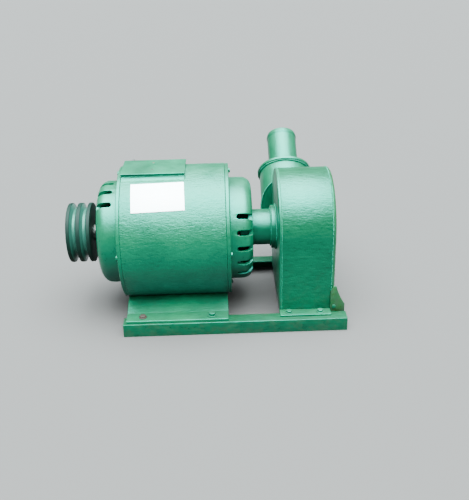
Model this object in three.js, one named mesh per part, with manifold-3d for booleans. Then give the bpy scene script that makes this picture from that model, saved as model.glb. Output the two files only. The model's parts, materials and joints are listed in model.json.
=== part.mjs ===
// A small pelton turbine generator on a welded angle-iron base.
// Units are millimetres and +Z is up. While it is built, the shaft axis is the X axis:
// the belt pulley is at -X, the turbine at +X, the nameplate faces -Y and the inlet faces +Y.
// At the end the whole machine is moved so that its origin is the middle of its length and depth, below it.
import * as THREE from 'three';
import { mergeVertices } from 'three/addons/utils/BufferGeometryUtils.js';
import Module from 'manifold-3d';

const wasm = await Module();
wasm.setup();

// Gap left between two pieces that touch on the real machine
const GAP = 0.3;
// How far a body that cuts another reaches past it
const PAST = 20;
const degrees = Math.PI / 180;

// Number of flat faces around a turned body, by its size
const AROUND_SHELL = 60;
const AROUND_BODY = 48;
const AROUND_BELL = 40;
const AROUND_TUBE = 36;
const AROUND_SMALL = 24;
const AROUND_CORD = 16;
const AROUND_BUCKET = 10;
const AROUND_CUP = 6;
const CURVE_STEPS = 12;

// Base frame of one-inch angle iron
const ANGLE_LEG = 25.4;
const ANGLE_WALL = 3.2;
const RAIL_TOP = -129;
const RAIL_BOTTOM = RAIL_TOP - ANGLE_LEG;
const RAIL_LEFT = -205;
const RAIL_RIGHT = 205;
const RAIL_FACE = 131.3;
const LEFT_MEMBER = -190;
const RIGHT_MEMBER = 187;

// Generator frame
const SHELL_RADIUS = 123;
const SHELL_WALL = 5.5;
const SHELL_LEFT = -197.5;
const SHELL_RIGHT = -11.2;
const BELL_RADIUS = 96;
const BELL_WALL = 6;
const BELL_CORNER = 18;
const BELL_FLANGE_RADIUS = 122.5;
const BELL_FLANGE = 6.3;
const BELL_LEFT_FACE = -245;
const BELL_RIGHT_FACE = 36.5;
const HUB_RADIUS = 40;
const HUB_DEPTH = 22;
const VENT_WIDTH = 10;
const VENT_PITCH = 18;
const VENT_GROUP = 5;
const VENT_START = 11.5;
const VENT_REACH = 82;
const CAP_THICKNESS = 6;
const CAP_CHAMFER = 2;

// Bearings and shaft
const BEARING_OUTER = 31;
const BEARING_WIDTH = 16;
const SHAFT_RADIUS = 15;
const SHAFT_CLEARANCE = 1.2;
const ROTOR_SEAT_RADIUS = 19;
const RUNNER_SEAT_RADIUS = 12;
const PULLEY_SEAT_RADIUS = 14;
const SEAT_OVERHANG = 8;
const SHAFT_LEFT = -303;
const SHAFT_RIGHT = 143;
const SHAFT_CHAMFER = 1;

// Windings, laminations and fan inside the generator; the air gap is drawn wider than the real one
const CORE_LEFT = -172;
const CORE_RIGHT = -38;
const CORE_BORE = 80;
const ROTOR_RADIUS = 74.5;
const WINDING_INNER = 85;
const WINDING_OUTER = 112;
const WINDING_LENGTH = 20;
const FAN_RADIUS = 84;
const FAN_LEFT = -8;
const FAN_RIGHT = 8;
const FAN_HUB_RADIUS = 26;
const FAN_DISC = 2.5;
const FAN_BLADES = 10;
const BLADE_THICKNESS = 3;
const BLADE_START = 38;
const BLADE_END = 83;

// Generator feet
const FOOT_LEFT = -199;
const FOOT_RIGHT = -12.5;
const FOOT_FRONT = 127.5;
const FOOT_BEND = 100;
const FOOT_THICKNESS = 5;
const FOOT_HIGH_ANGLE = -60;
const FOOT_LOW_ANGLE = -70;
const FOOT_STEP = 2;
const FOOT_BEND_INSIDE = 97;

// Terminal box on the crown of the shell, and the blank nameplate
const BOX_LEFT = -196;
const BOX_RIGHT = -84;
const BOX_HALF_DEPTH = 36;
const BOX_ROOM_BELOW = 4;
const LID_TOP = 127;
const LID_THICKNESS = 2.2;
const LID_OVERHANG = 1.5;
const GROMMET_X = -182;
const GROMMET_RADIUS = 4;
const GROMMET_LENGTH = 11;
const GROMMET_TAPER = 1;
const GROMMET_LIFT = 1;
const PLATE_LEFT = -177.5;
const PLATE_RIGHT = -83.5;
const PLATE_LOW_ANGLE = 38.5;
const PLATE_HIGH_ANGLE = 66.5;
const PLATE_THICKNESS = 0.9;

// Twin-groove belt pulley
const PULLEY_RADIUS = 56;
const PULLEY_LEFT = -305.5;
const PULLEY_RIGHT = -261.5;
const GROOVE_PITCH = 19;
const GROOVE_WIDTH = 12;
const GROOVE_FLOOR = 5;
const GROOVE_DEPTH = 11;
const RIM_CHAMFER = 1;

// Turbine casing
const CASING_LEFT = 83;
const CASING_SHOULDER = 178;
const CASING_RIGHT = 184.5;
const CASING_RADIUS = 98.2;
const CASING_COVER_RADIUS = 92;
const CASING_CENTRE = 13.4;
const CASING_WALL = 4;
const COVER_STEPS = 4;
const CASING_BOTTOM = RAIL_TOP + GAP;
const CASING_FOOT_FRONT = 119.7;
const CASING_FOOT_THICKNESS = 3;
const CASING_FOOT_RIGHT = 176.6;
const SHAFT_HOLE_RADIUS = 22;

// Bracket at the lower right corner of the casing, with a straight side, a hollow edge and a cut-off corner
const BRACKET_LEFT = CASING_FOOT_RIGHT + GAP;
const BRACKET_RIGHT = 203.5;
const BRACKET_BOTTOM = RAIL_TOP - ANGLE_WALL;
const BRACKET_SIDE_TOP = CASING_BOTTOM + 13;
const BRACKET_TOP = CASING_BOTTOM + 50;
const BRACKET_TOP_RIGHT = 187;
const BRACKET_BEND = [193.8, CASING_BOTTOM + 26.5];
const BRACKET_CORNER = [182, CASING_BOTTOM + 38];
const BRACKET_THICKNESS = 3;

// Tube that covers the shaft between generator and casing
const GUARD_RADIUS = 34;
const GUARD_WALL = 3.2;
const GUARD_FLANGE_RADIUS = 41;
const GUARD_FLANGE_LEFT = 73;

// Inlet: its axis slopes down towards the front and passes below the shaft, JET_DISTANCE from it
const INLET_X = 113;
const INLET_SLOPE = 36;
const JET_DISTANCE = 58;
const INLET_RADIUS = 50.8;
const INLET_WALL = 4;
const INLET_END_PLATE = 5;
const FLANGE_RADIUS = 55;
const FLANGE_START = 159;
const FLANGE_THICKNESS = 6;
const SPIGOT_RADIUS = 30.15;
const SPIGOT_WALL = 3.6;
const SPIGOT_START = 150;
const SPIGOT_END = 255;
const SPIGOT_BEAD = 1.4;
const SPIGOT_BEAD_START = 245;
const SPIGOT_BEAD_TOP = 248;
const NOZZLE_TIP = 63;
const NOZZLE_BORE = 7;
const NOZZLE_NECK = 105;
const NOZZLE_NECK_RADIUS = 19;
const NOZZLE_COLLAR = 120;
const NOZZLE_END = 128;
const NOZZLE_WALL = 3.5;
const NOZZLE_HOLE = 25;

// Pelton runner
const RUNNER_HUB_RADIUS = 24;
const RUNNER_HUB_HALF = 15;
const RUNNER_DISC_RADIUS = 48;
const RUNNER_DISC_HALF = 5;
const BUCKET_COUNT = 16;
const BUCKET_RADIUS = 60;
const BUCKET_HALF_WIDTH = 20.5;
const BUCKET_HALF_HEIGHT = 17;
const BUCKET_DEPTH = 14;
const BUCKET_WALL = 2;
const CUP_RISE = 0.3;
const BOWL_BEND = -50;
const NOTCH_HALF_WIDTH = 6;
const NOTCH_DEPTH = 6;
const NUT_LENGTH = 10;
const NUT_RADIUS = 16;
const NUT_SIDES = 6;

// Colours
const paint = (color, roughness) => new THREE.MeshStandardMaterial({ color, roughness, metalness: 0 });
const metal = (color, roughness) => new THREE.MeshStandardMaterial({ color, roughness, metalness: 1 });
const greenPaint = () => paint(0x1e9a6e, 0.35);
const darkGreenPaint = () => paint(0x12523c, 0.45);
const whitePaint = () => paint(0xf2f3f1, 0.3);
const brightSteel = () => metal(0x9a9c9c, 0.35);
const dullIron = () => metal(0x55504a, 0.6);
const copperEnamel = () => paint(0x7a3d1c, 0.4);
const bronze = () => metal(0x8c6b3a, 0.4);
const blackRubber = () => paint(0x151515, 0.8);

const machine = new THREE.Group();
const frame = new THREE.Group();
const rotor = new THREE.Group();
machine.add(frame, rotor);

// One closed skin with shared vertices and its faces outwards
function closedSkin(geometry) {
  const plain = geometry.clone();
  plain.deleteAttribute('normal');
  plain.deleteAttribute('uv');
  const merged = mergeVertices(plain, 1e-3);
  const index = merged.index.array;
  const at = (i) => new THREE.Vector3().fromBufferAttribute(merged.attributes.position, i);
  const kept = [];
  let volume = 0;
  for (let i = 0; i < index.length; i += 3) {
    const [a, b, c] = [index[i], index[i + 1], index[i + 2]];
    if (a === b || b === c || c === a) continue;
    kept.push(a, b, c);
    volume += at(a).dot(at(b).cross(at(c)));
  }
  merged.setIndex(volume < 0 ? kept.reverse() : kept);
  return merged;
}

function solid(geometry) {
  const skin = closedSkin(geometry);
  const vertProperties = new Float32Array(skin.attributes.position.array);
  const triVerts = new Uint32Array(skin.index.array);
  return new wasm.Manifold(new wasm.Mesh({ numProp: 3, vertProperties, triVerts }));
}

function skinOf(manifold) {
  const mesh = manifold.getMesh();
  const geometry = new THREE.BufferGeometry();
  geometry.setAttribute('position', new THREE.BufferAttribute(new Float32Array(mesh.vertProperties), 3));
  geometry.setIndex(new THREE.BufferAttribute(new Uint32Array(mesh.triVerts), 1));
  return geometry;
}

function piece(name, geometry, material, group = frame) {
  const mesh = new THREE.Mesh(closedSkin(geometry), material);
  mesh.name = name;
  group.add(mesh);
}

// Box between two corners
function block(x0, x1, y0, y1, z0, z1) {
  const box = new THREE.BoxGeometry(x1 - x0, y1 - y0, z1 - z0);
  return box.translate((x0 + x1) / 2, (y0 + y1) / 2, (z0 + z1) / 2);
}

// Outline drawn in the YZ plane and pushed along X
function prismX(outline, x0, x1, curveSegments = AROUND_SMALL, steps = 1) {
  const depth = x1 - x0;
  const prism = new THREE.ExtrudeGeometry(outline, { depth, bevelEnabled: false, curveSegments, steps });
  const turn = new THREE.Matrix4().makeBasis(
    new THREE.Vector3(0, 1, 0), new THREE.Vector3(0, 0, 1), new THREE.Vector3(1, 0, 0));
  return prism.applyMatrix4(turn).translate(x0, 0, 0);
}

// Outline drawn in the XZ plane and pushed along Y
function prismY(outline, y0, y1, curveSegments = CURVE_STEPS) {
  const prism = new THREE.ExtrudeGeometry(outline, { depth: y1 - y0, bevelEnabled: false, curveSegments });
  return prism.rotateX(Math.PI / 2).translate(0, y1, 0);
}

function outlineOf(points) {
  return new THREE.Shape(points.map(([x, y]) => new THREE.Vector2(x, y)));
}

// Body turned about the X axis from a closed profile of [radius, x] points
function turnedX(profile, segments = AROUND_BODY) {
  const points = profile.map(([radius, x]) => new THREE.Vector2(radius, x));
  const first = points[0];
  if (first.x > 0) points.push(first.clone());
  return new THREE.LatheGeometry(points, segments).rotateZ(-Math.PI / 2);
}

function ringX(x0, x1, inner, outer, segments = AROUND_BODY) {
  return turnedX([[inner, x0], [outer, x0], [outer, x1], [inner, x1]], segments);
}

function quarterArc(centreRadius, centreX, radius, from, to, steps = 3) {
  const points = [];
  for (let i = 0; i <= steps; i += 1) {
    const angle = (from + ((to - from) * i) / steps) * degrees;
    points.push([centreRadius + radius * Math.cos(angle), centreX + radius * Math.sin(angle)]);
  }
  return points;
}

// Base frame: two long rails with two members between them
function angleRail(side) {
  const face = side * RAIL_FACE;
  const inner = side * (RAIL_FACE - ANGLE_WALL);
  const edge = side * (RAIL_FACE - ANGLE_LEG);
  const outline = outlineOf([
    [face, RAIL_BOTTOM], [inner, RAIL_BOTTOM], [inner, RAIL_TOP - ANGLE_WALL],
    [edge, RAIL_TOP - ANGLE_WALL], [edge, RAIL_TOP], [face, RAIL_TOP],
  ]);
  return prismX(outline, RAIL_LEFT, RAIL_RIGHT);
}

function crossMember(x, inward) {
  const top = RAIL_TOP - ANGLE_WALL - GAP;
  const reach = RAIL_FACE - ANGLE_WALL - GAP;
  const outline = outlineOf([
    [x, RAIL_BOTTOM], [x + inward * ANGLE_WALL, RAIL_BOTTOM], [x + inward * ANGLE_WALL, top - ANGLE_WALL],
    [x + inward * ANGLE_LEG, top - ANGLE_WALL], [x + inward * ANGLE_LEG, top], [x, top],
  ]);
  return prismY(outline, -reach, reach);
}

piece('front_base_rail', angleRail(-1), greenPaint());
piece('rear_base_rail', angleRail(1), greenPaint());
piece('left_cross_member', crossMember(LEFT_MEMBER, 1), greenPaint());
piece('right_cross_member', crossMember(RIGHT_MEMBER, -1), greenPaint());

// Generator: rolled shell, laminated core and two rings of winding ends
const shellInside = SHELL_RADIUS - SHELL_WALL;
const shell = ringX(SHELL_LEFT, SHELL_RIGHT, shellInside, SHELL_RADIUS, AROUND_SHELL);
piece('generator_shell', shell, greenPaint());
piece('stator_core', ringX(CORE_LEFT, CORE_RIGHT, CORE_BORE, shellInside - GAP), dullIron());

function windingEnds(x0, x1) {
  const middle = (WINDING_INNER + WINDING_OUTER) / 2;
  const half = (WINDING_OUTER - WINDING_INNER) / 2;
  const away = Math.sign(x1 - x0);
  const roundOff = [0, 45, 90, 135, 180].map((angle) => [
    middle + half * Math.cos(angle * degrees),
    x1 - away * half * (1 - Math.sin(angle * degrees)),
  ]);
  return turnedX([[WINDING_OUTER, x0], ...roundOff, [WINDING_INNER, x0]], AROUND_TUBE);
}

piece('left_winding', windingEnds(CORE_LEFT - GAP, CORE_LEFT - WINDING_LENGTH), copperEnamel());
piece('right_winding', windingEnds(CORE_RIGHT + GAP, CORE_RIGHT + WINDING_LENGTH), copperEnamel());

// Cast end bell with a flange, a rounded rim, a bearing hub inside and vent slots in two groups
function endBell(flangeX, faceX, ventCentre) {
  const out = Math.sign(faceX - flangeX);
  const inner = BELL_RADIUS - BELL_WALL;
  const cornerX = faceX - out * BELL_CORNER;
  const bore = BEARING_OUTER + GAP;
  const mouth = SHAFT_RADIUS + SHAFT_CLEARANCE;
  const seatX = faceX - out * (HUB_DEPTH - BEARING_WIDTH - GAP);
  const profile = [
    [mouth, faceX],
    ...quarterArc(BELL_RADIUS - BELL_CORNER, cornerX, BELL_CORNER, out * 90, 0),
    [BELL_RADIUS, flangeX],
    [BELL_FLANGE_RADIUS, flangeX],
    [BELL_FLANGE_RADIUS, flangeX - out * BELL_FLANGE],
    [inner, flangeX - out * BELL_FLANGE],
    ...quarterArc(inner - BELL_CORNER, cornerX - out * BELL_WALL, BELL_CORNER, 0, out * 90),
    [HUB_RADIUS, faceX - out * BELL_WALL],
    [HUB_RADIUS, faceX - out * HUB_DEPTH],
    [bore, faceX - out * HUB_DEPTH],
    [bore, seatX],
    [mouth, seatX],
  ];
  let bell = solid(turnedX(profile, AROUND_BELL));
  const half = VENT_WIDTH / 2;
  const startX = flangeX + out * (VENT_START + half);
  const endX = faceX + out * BELL_WALL;
  const slot = new THREE.Shape();
  slot.moveTo(endX, half);
  slot.lineTo(startX, half);
  slot.absarc(startX, 0, half, 90 * degrees, 270 * degrees, out < 0);
  slot.lineTo(endX, -half);
  const through = { depth: BELL_CORNER * 2, bevelEnabled: false, curveSegments: 2 };
  for (const centre of [ventCentre, ventCentre + 180]) {
    for (let i = 0; i < VENT_GROUP; i += 1) {
      const angle = centre + (i - (VENT_GROUP - 1) / 2) * VENT_PITCH;
      const cutter = new THREE.ExtrudeGeometry(slot, through);
      cutter.translate(0, 0, VENT_REACH).rotateX((90 - angle) * degrees);
      bell = bell.subtract(solid(cutter));
    }
  }
  return skinOf(bell);
}

const leftFlange = SHELL_LEFT - GAP - BELL_FLANGE;
const rightFlange = SHELL_RIGHT + GAP + BELL_FLANGE;
piece('left_end_bell', endBell(leftFlange, BELL_LEFT_FACE, 90), greenPaint());
piece('right_end_bell', endBell(rightFlange, BELL_RIGHT_FACE, 0), greenPaint());

const shaftMouth = SHAFT_RADIUS + SHAFT_CLEARANCE;
const bearingRing = (x) => ringX(x, x + BEARING_WIDTH, shaftMouth, BEARING_OUTER, AROUND_TUBE);
piece('left_bearing', bearingRing(BELL_LEFT_FACE + HUB_DEPTH - BEARING_WIDTH), brightSteel());
piece('right_bearing', bearingRing(BELL_RIGHT_FACE - HUB_DEPTH), brightSteel());
const capFace = BELL_LEFT_FACE - CAP_THICKNESS;
piece('left_bearing_cap',
  turnedX([
    [shaftMouth, BELL_LEFT_FACE - GAP], [HUB_RADIUS, BELL_LEFT_FACE - GAP],
    [HUB_RADIUS, capFace + CAP_CHAMFER], [HUB_RADIUS - CAP_CHAMFER, capFace], [shaftMouth, capFace],
  ]), greenPaint());

// Cast foot: a flange on the rail, and a slope that rises to a saddle under the shell
function generatorFoot(side) {
  const saddle = SHELL_RADIUS + GAP;
  const flangeBottom = RAIL_TOP + GAP;
  const flangeTop = flangeBottom + FOOT_THICKNESS;
  const onSaddle = (angle) => {
    const turn = angle * degrees;
    return [side * saddle * Math.cos(turn), saddle * Math.sin(turn)];
  };
  const corners = [
    [side * FOOT_FRONT, flangeBottom], [side * FOOT_FRONT, flangeTop], [side * FOOT_BEND, flangeTop],
  ];
  for (let angle = FOOT_HIGH_ANGLE; angle >= FOOT_LOW_ANGLE; angle -= FOOT_STEP) {
    corners.push(onSaddle(angle));
  }
  const [heelY, heelZ] = onSaddle(FOOT_LOW_ANGLE);
  corners.push([heelY, heelZ - FOOT_THICKNESS], [side * FOOT_BEND_INSIDE, flangeBottom]);
  return prismX(outlineOf(corners), FOOT_LEFT, FOOT_RIGHT);
}

piece('front_foot', generatorFoot(-1), greenPaint());
piece('rear_foot', generatorFoot(1), greenPaint());

// Terminal box: a shallow pad that sits like a saddle on the crown of the shell, with a flat lid
const lidBottom = LID_TOP - LID_THICKNESS;
const padTop = lidBottom - GAP;
const padBottom = Math.sqrt(SHELL_RADIUS ** 2 - BOX_HALF_DEPTH ** 2) - BOX_ROOM_BELOW;
function roundBar(x0, x1, radius, segments = AROUND_TUBE) {
  return turnedX([[0, x0], [radius, x0], [radius, x1], [0, x1]], segments);
}
const shellRound = roundBar(BOX_LEFT - PAST, BOX_RIGHT + PAST, SHELL_RADIUS + GAP, AROUND_SHELL);
const pad = solid(block(BOX_LEFT, BOX_RIGHT, -BOX_HALF_DEPTH, BOX_HALF_DEPTH, padBottom, padTop))
  .subtract(solid(shellRound));
piece('terminal_box', skinOf(pad), greenPaint());

const lidReach = BOX_HALF_DEPTH + LID_OVERHANG;
const lidLeft = BOX_LEFT - LID_OVERHANG;
const lidRight = BOX_RIGHT + LID_OVERHANG;
const lid = block(lidLeft, lidRight, -lidReach, lidReach, lidBottom, LID_TOP);
piece('terminal_lid', lid, greenPaint());

// Rubber grommet in the back of the terminal box
const grommetTip = GROMMET_RADIUS - GROMMET_TAPER;
const grommet = new THREE.CylinderGeometry(grommetTip, GROMMET_RADIUS, GROMMET_LENGTH, AROUND_CORD);
const grommetStart = BOX_HALF_DEPTH + LID_OVERHANG + GAP;
const padFoot = Math.sqrt((SHELL_RADIUS + GAP) ** 2 - BOX_HALF_DEPTH ** 2);
const grommetHeight = padFoot + GROMMET_RADIUS + GROMMET_LIFT;
grommet.translate(GROMMET_X, grommetStart + GROMMET_LENGTH / 2, grommetHeight);
piece('cable_grommet', grommet, blackRubber());

// Blank nameplate, bent to the shell
function nameplate() {
  const inner = SHELL_RADIUS + GAP;
  const outer = inner + PLATE_THICKNESS;
  const from = Math.PI - PLATE_LOW_ANGLE * degrees;
  const to = Math.PI - PLATE_HIGH_ANGLE * degrees;
  const outline = new THREE.Shape();
  outline.absarc(0, 0, outer, from, to, true);
  outline.absarc(0, 0, inner, to, from, false);
  return prismX(outline, PLATE_LEFT, PLATE_RIGHT, CURVE_STEPS);
}

piece('nameplate', nameplate(), whitePaint());

// Casing outline: half round over the shaft with straight sides down to the rails
function archShape(radius, bottom) {
  const arch = new THREE.Shape();
  arch.moveTo(-radius, bottom);
  arch.lineTo(-radius, CASING_CENTRE);
  arch.absarc(0, CASING_CENTRE, radius, Math.PI, 0, true);
  arch.lineTo(radius, bottom);
  return arch;
}

function archBand(outer, inner, bottom) {
  const band = archShape(outer, bottom);
  band.lineTo(inner, bottom);
  band.lineTo(inner, CASING_CENTRE);
  band.absarc(0, CASING_CENTRE, inner, 0, Math.PI, false);
  band.lineTo(-inner, bottom);
  return band;
}

// Arch whose right-hand end is rounded down to a smaller radius, like the edge of a dish
function dishedArch(x0, x1, radius, endRadius, bottom) {
  const arch = prismX(archShape(radius, bottom), x0, x1, AROUND_TUBE, COVER_STEPS);
  const position = arch.attributes.position;
  for (let i = 0; i < position.count; i += 1) {
    const turn = ((position.getX(i) - x0) / (x1 - x0)) * 90 * degrees;
    const shrink = (endRadius + (radius - endRadius) * Math.cos(turn)) / radius;
    const z = position.getZ(i);
    position.setX(i, x0 + (x1 - x0) * Math.sin(turn));
    position.setY(i, position.getY(i) * shrink);
    if (z > CASING_CENTRE) position.setZ(i, CASING_CENTRE + (z - CASING_CENTRE) * shrink);
  }
  return arch;
}

// Puts a body that was turned about Y onto the sloping inlet axis, from its point nearest the shaft
function onInletAxis(geometry) {
  const slope = INLET_SLOPE * degrees;
  const nearest = [INLET_X, JET_DISTANCE * Math.sin(slope), -JET_DISTANCE * Math.cos(slope)];
  return geometry.rotateX(slope).translate(...nearest);
}

function inletBody(profile, segments = AROUND_TUBE) {
  const points = profile.map(([radius, along]) => new THREE.Vector2(radius, along));
  if (points[0].x > 0) points.push(points[0].clone());
  return onInletAxis(new THREE.LatheGeometry(points, segments));
}

const inletBar = (from, to, radius) => inletBody([[0, from], [radius, from], [radius, to], [0, to]]);
const innerRadius = CASING_RADIUS - CASING_WALL;

const plateRight = CASING_LEFT + CASING_WALL;
const fullArch = archShape(CASING_RADIUS, CASING_BOTTOM);
const leftPlate = solid(prismX(fullArch, CASING_LEFT, plateRight, AROUND_TUBE))
  .subtract(solid(roundBar(CASING_LEFT - PAST, plateRight + PAST, SHAFT_HOLE_RADIUS)));
piece('casing_left_plate', skinOf(leftPlate), greenPaint());

const wrapOutline = archBand(CASING_RADIUS, innerRadius, CASING_BOTTOM);
const nozzleHole = solid(inletBar(0, SPIGOT_START, NOZZLE_HOLE));
const wrap = solid(prismX(wrapOutline, plateRight + GAP, CASING_SHOULDER, AROUND_TUBE));
piece('casing_wrap', skinOf(wrap.subtract(nozzleHole)), greenPaint());

const coverLeft = CASING_SHOULDER + GAP;
const coverOutside = dishedArch(coverLeft, CASING_RIGHT, CASING_RADIUS, CASING_COVER_RADIUS, CASING_BOTTOM);
const roomRight = CASING_RIGHT - CASING_WALL;
const roomBottom = CASING_BOTTOM - PAST;
const room = dishedArch(coverLeft, roomRight, innerRadius, CASING_COVER_RADIUS - CASING_WALL, roomBottom);
const roomMouth = prismX(archShape(innerRadius, roomBottom), coverLeft - PAST, coverLeft, AROUND_TUBE);
const cover = solid(coverOutside).subtract(solid(room).add(solid(roomMouth)));
piece('casing_cover', skinOf(cover), greenPaint());

// Flange feet that carry the casing on the rails
function casingFoot(side) {
  const edges = [side * (CASING_RADIUS + GAP), side * CASING_FOOT_FRONT].sort((a, b) => a - b);
  const footTop = CASING_BOTTOM + CASING_FOOT_THICKNESS;
  return block(CASING_LEFT, CASING_FOOT_RIGHT, ...edges, CASING_BOTTOM, footTop);
}

piece('casing_front_foot', casingFoot(-1), greenPaint());
piece('casing_rear_foot', casingFoot(1), greenPaint());

// Corner bracket: a plate against the casing wall that stands on the right cross member
function cornerBracket(side) {
  const wall = side * (CASING_RADIUS + GAP);
  const plate = new THREE.Shape();
  plate.moveTo(BRACKET_LEFT, BRACKET_BOTTOM);
  plate.lineTo(BRACKET_RIGHT, BRACKET_BOTTOM);
  plate.lineTo(BRACKET_RIGHT, BRACKET_SIDE_TOP);
  plate.quadraticCurveTo(...BRACKET_BEND, BRACKET_TOP_RIGHT, BRACKET_TOP);
  plate.lineTo(BRACKET_CORNER[0], BRACKET_TOP);
  plate.lineTo(BRACKET_LEFT, BRACKET_CORNER[1]);
  return prismY(plate, ...[wall, wall + side * BRACKET_THICKNESS].sort((a, b) => a - b), CURVE_STEPS);
}

piece('front_corner_bracket', cornerBracket(-1), greenPaint());
piece('rear_corner_bracket', cornerBracket(1), greenPaint());

// Guard tube over the shaft, with a flange against the casing
const guardLeft = BELL_RIGHT_FACE + GAP;
const guardRight = CASING_LEFT - GAP;
const guardTube = ringX(guardLeft, guardRight, GUARD_RADIUS - GUARD_WALL, GUARD_RADIUS, AROUND_TUBE);
const collarBore = GUARD_RADIUS + GAP;
const guardCollar = ringX(GUARD_FLANGE_LEFT, guardRight, collarBore, GUARD_FLANGE_RADIUS, AROUND_TUBE);
piece('shaft_guard_tube', guardTube, greenPaint());
piece('guard_tube_flange', guardCollar, greenPaint());

// Inlet pipe, closed at its lower end by a plate against the back of the casing
const wallFace = CASING_RADIUS + GAP;
const inletPipe = solid(inletBar(0, FLANGE_START - GAP, INLET_RADIUS))
  .subtract(solid(inletBar(-PAST, FLANGE_START + PAST, INLET_RADIUS - INLET_WALL)));
const farSide = 2 * INLET_X;
const endSlab = block(0, farSide, wallFace, wallFace + INLET_END_PLATE, -FLANGE_START, FLANGE_START);
const endCore = inletBar(0, FLANGE_START - GAP, INLET_RADIUS - INLET_WALL / 2);
const inletEnd = solid(endCore).intersect(solid(endSlab));
const inFront = solid(block(0, farSide, -wallFace, wallFace, -FLANGE_START, FLANGE_START));
piece('inlet_pipe', skinOf(inletPipe.subtract(inFront).add(inletEnd).subtract(nozzleHole)), greenPaint());

const spigotBore = SPIGOT_RADIUS - SPIGOT_WALL;
const flangeEnd = FLANGE_START + FLANGE_THICKNESS;
piece('inlet_flange',
  inletBody([
    [SPIGOT_RADIUS + GAP, FLANGE_START], [FLANGE_RADIUS, FLANGE_START],
    [FLANGE_RADIUS, flangeEnd], [SPIGOT_RADIUS + GAP, flangeEnd],
  ]), greenPaint());
piece('hose_spigot',
  inletBody([
    [spigotBore, SPIGOT_START], [SPIGOT_RADIUS, SPIGOT_START], [SPIGOT_RADIUS, SPIGOT_BEAD_START],
    [SPIGOT_RADIUS + SPIGOT_BEAD, SPIGOT_BEAD_TOP], [SPIGOT_RADIUS, SPIGOT_END], [spigotBore, SPIGOT_END],
  ]), greenPaint());
const pipeFit = INLET_RADIUS - INLET_WALL - GAP;
const nozzleMouth = pipeFit - NOZZLE_WALL;
piece('nozzle',
  inletBody([
    [NOZZLE_BORE, NOZZLE_TIP], [NOZZLE_BORE + NOZZLE_WALL, NOZZLE_TIP],
    [NOZZLE_NECK_RADIUS, NOZZLE_NECK], [pipeFit, NOZZLE_COLLAR], [pipeFit, NOZZLE_END],
    [nozzleMouth, NOZZLE_END], [NOZZLE_NECK_RADIUS - NOZZLE_WALL, NOZZLE_NECK],
  ]), bronze());

// Shaft, stepped for the pulley, the bearings, the rotor core and the runner
const runnerLeft = INLET_X - RUNNER_HUB_HALF;
const runnerRight = INLET_X + RUNNER_HUB_HALF;
piece('shaft',
  turnedX([
    [0, SHAFT_LEFT], [PULLEY_SEAT_RADIUS - SHAFT_CHAMFER, SHAFT_LEFT],
    [PULLEY_SEAT_RADIUS, SHAFT_LEFT + SHAFT_CHAMFER],
    [PULLEY_SEAT_RADIUS, PULLEY_RIGHT + GAP], [SHAFT_RADIUS, PULLEY_RIGHT + GAP],
    [SHAFT_RADIUS, CORE_LEFT - SEAT_OVERHANG], [ROTOR_SEAT_RADIUS, CORE_LEFT - SEAT_OVERHANG],
    [ROTOR_SEAT_RADIUS, CORE_RIGHT + SEAT_OVERHANG], [SHAFT_RADIUS, CORE_RIGHT + SEAT_OVERHANG],
    [SHAFT_RADIUS, runnerLeft - GAP], [RUNNER_SEAT_RADIUS, runnerLeft - GAP],
    [RUNNER_SEAT_RADIUS, SHAFT_RIGHT - SHAFT_CHAMFER], [RUNNER_SEAT_RADIUS - SHAFT_CHAMFER, SHAFT_RIGHT],
    [0, SHAFT_RIGHT],
  ], AROUND_TUBE), brightSteel(), rotor);
const rotorCore = ringX(CORE_LEFT, CORE_RIGHT, ROTOR_SEAT_RADIUS + GAP, ROTOR_RADIUS, AROUND_TUBE);
piece('rotor_core', rotorCore, dullIron(), rotor);

// Pulley: two wedge grooves between three rims
function pulleyProfile() {
  const bore = PULLEY_SEAT_RADIUS + GAP;
  const rim = PULLEY_RADIUS;
  const floor = PULLEY_RADIUS - GROOVE_DEPTH;
  const middle = (PULLEY_LEFT + PULLEY_RIGHT) / 2;
  const profile = [[bore, PULLEY_LEFT], [rim - RIM_CHAMFER, PULLEY_LEFT], [rim, PULLEY_LEFT + RIM_CHAMFER]];
  for (const centre of [middle - GROOVE_PITCH / 2, middle + GROOVE_PITCH / 2]) {
    profile.push([rim, centre - GROOVE_WIDTH / 2], [floor, centre - GROOVE_FLOOR / 2]);
    profile.push([floor, centre + GROOVE_FLOOR / 2], [rim, centre + GROOVE_WIDTH / 2]);
  }
  profile.push([rim, PULLEY_RIGHT - RIM_CHAMFER], [rim - RIM_CHAMFER, PULLEY_RIGHT], [bore, PULLEY_RIGHT]);
  return profile;
}

piece('pulley', turnedX(pulleyProfile()), darkGreenPaint(), rotor);

// Cooling fan: a back disc with straight blades
function coolingFan() {
  const bore = SHAFT_RADIUS + GAP;
  const discRight = FAN_LEFT + FAN_DISC;
  let fan = solid(turnedX([
    [bore, FAN_LEFT], [FAN_RADIUS, FAN_LEFT], [FAN_RADIUS, discRight],
    [FAN_HUB_RADIUS, discRight], [FAN_HUB_RADIUS, FAN_RIGHT], [bore, FAN_RIGHT],
  ]));
  const half = BLADE_THICKNESS / 2;
  for (let i = 0; i < FAN_BLADES; i += 1) {
    const blade = block(FAN_LEFT + FAN_DISC / 2, FAN_RIGHT, -half, half, BLADE_START, BLADE_END);
    fan = fan.add(solid(blade.rotateX((i * 2 * Math.PI) / FAN_BLADES)));
  }
  return skinOf(fan);
}

piece('cooling_fan', coolingFan(), dullIron(), rotor);

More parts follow.
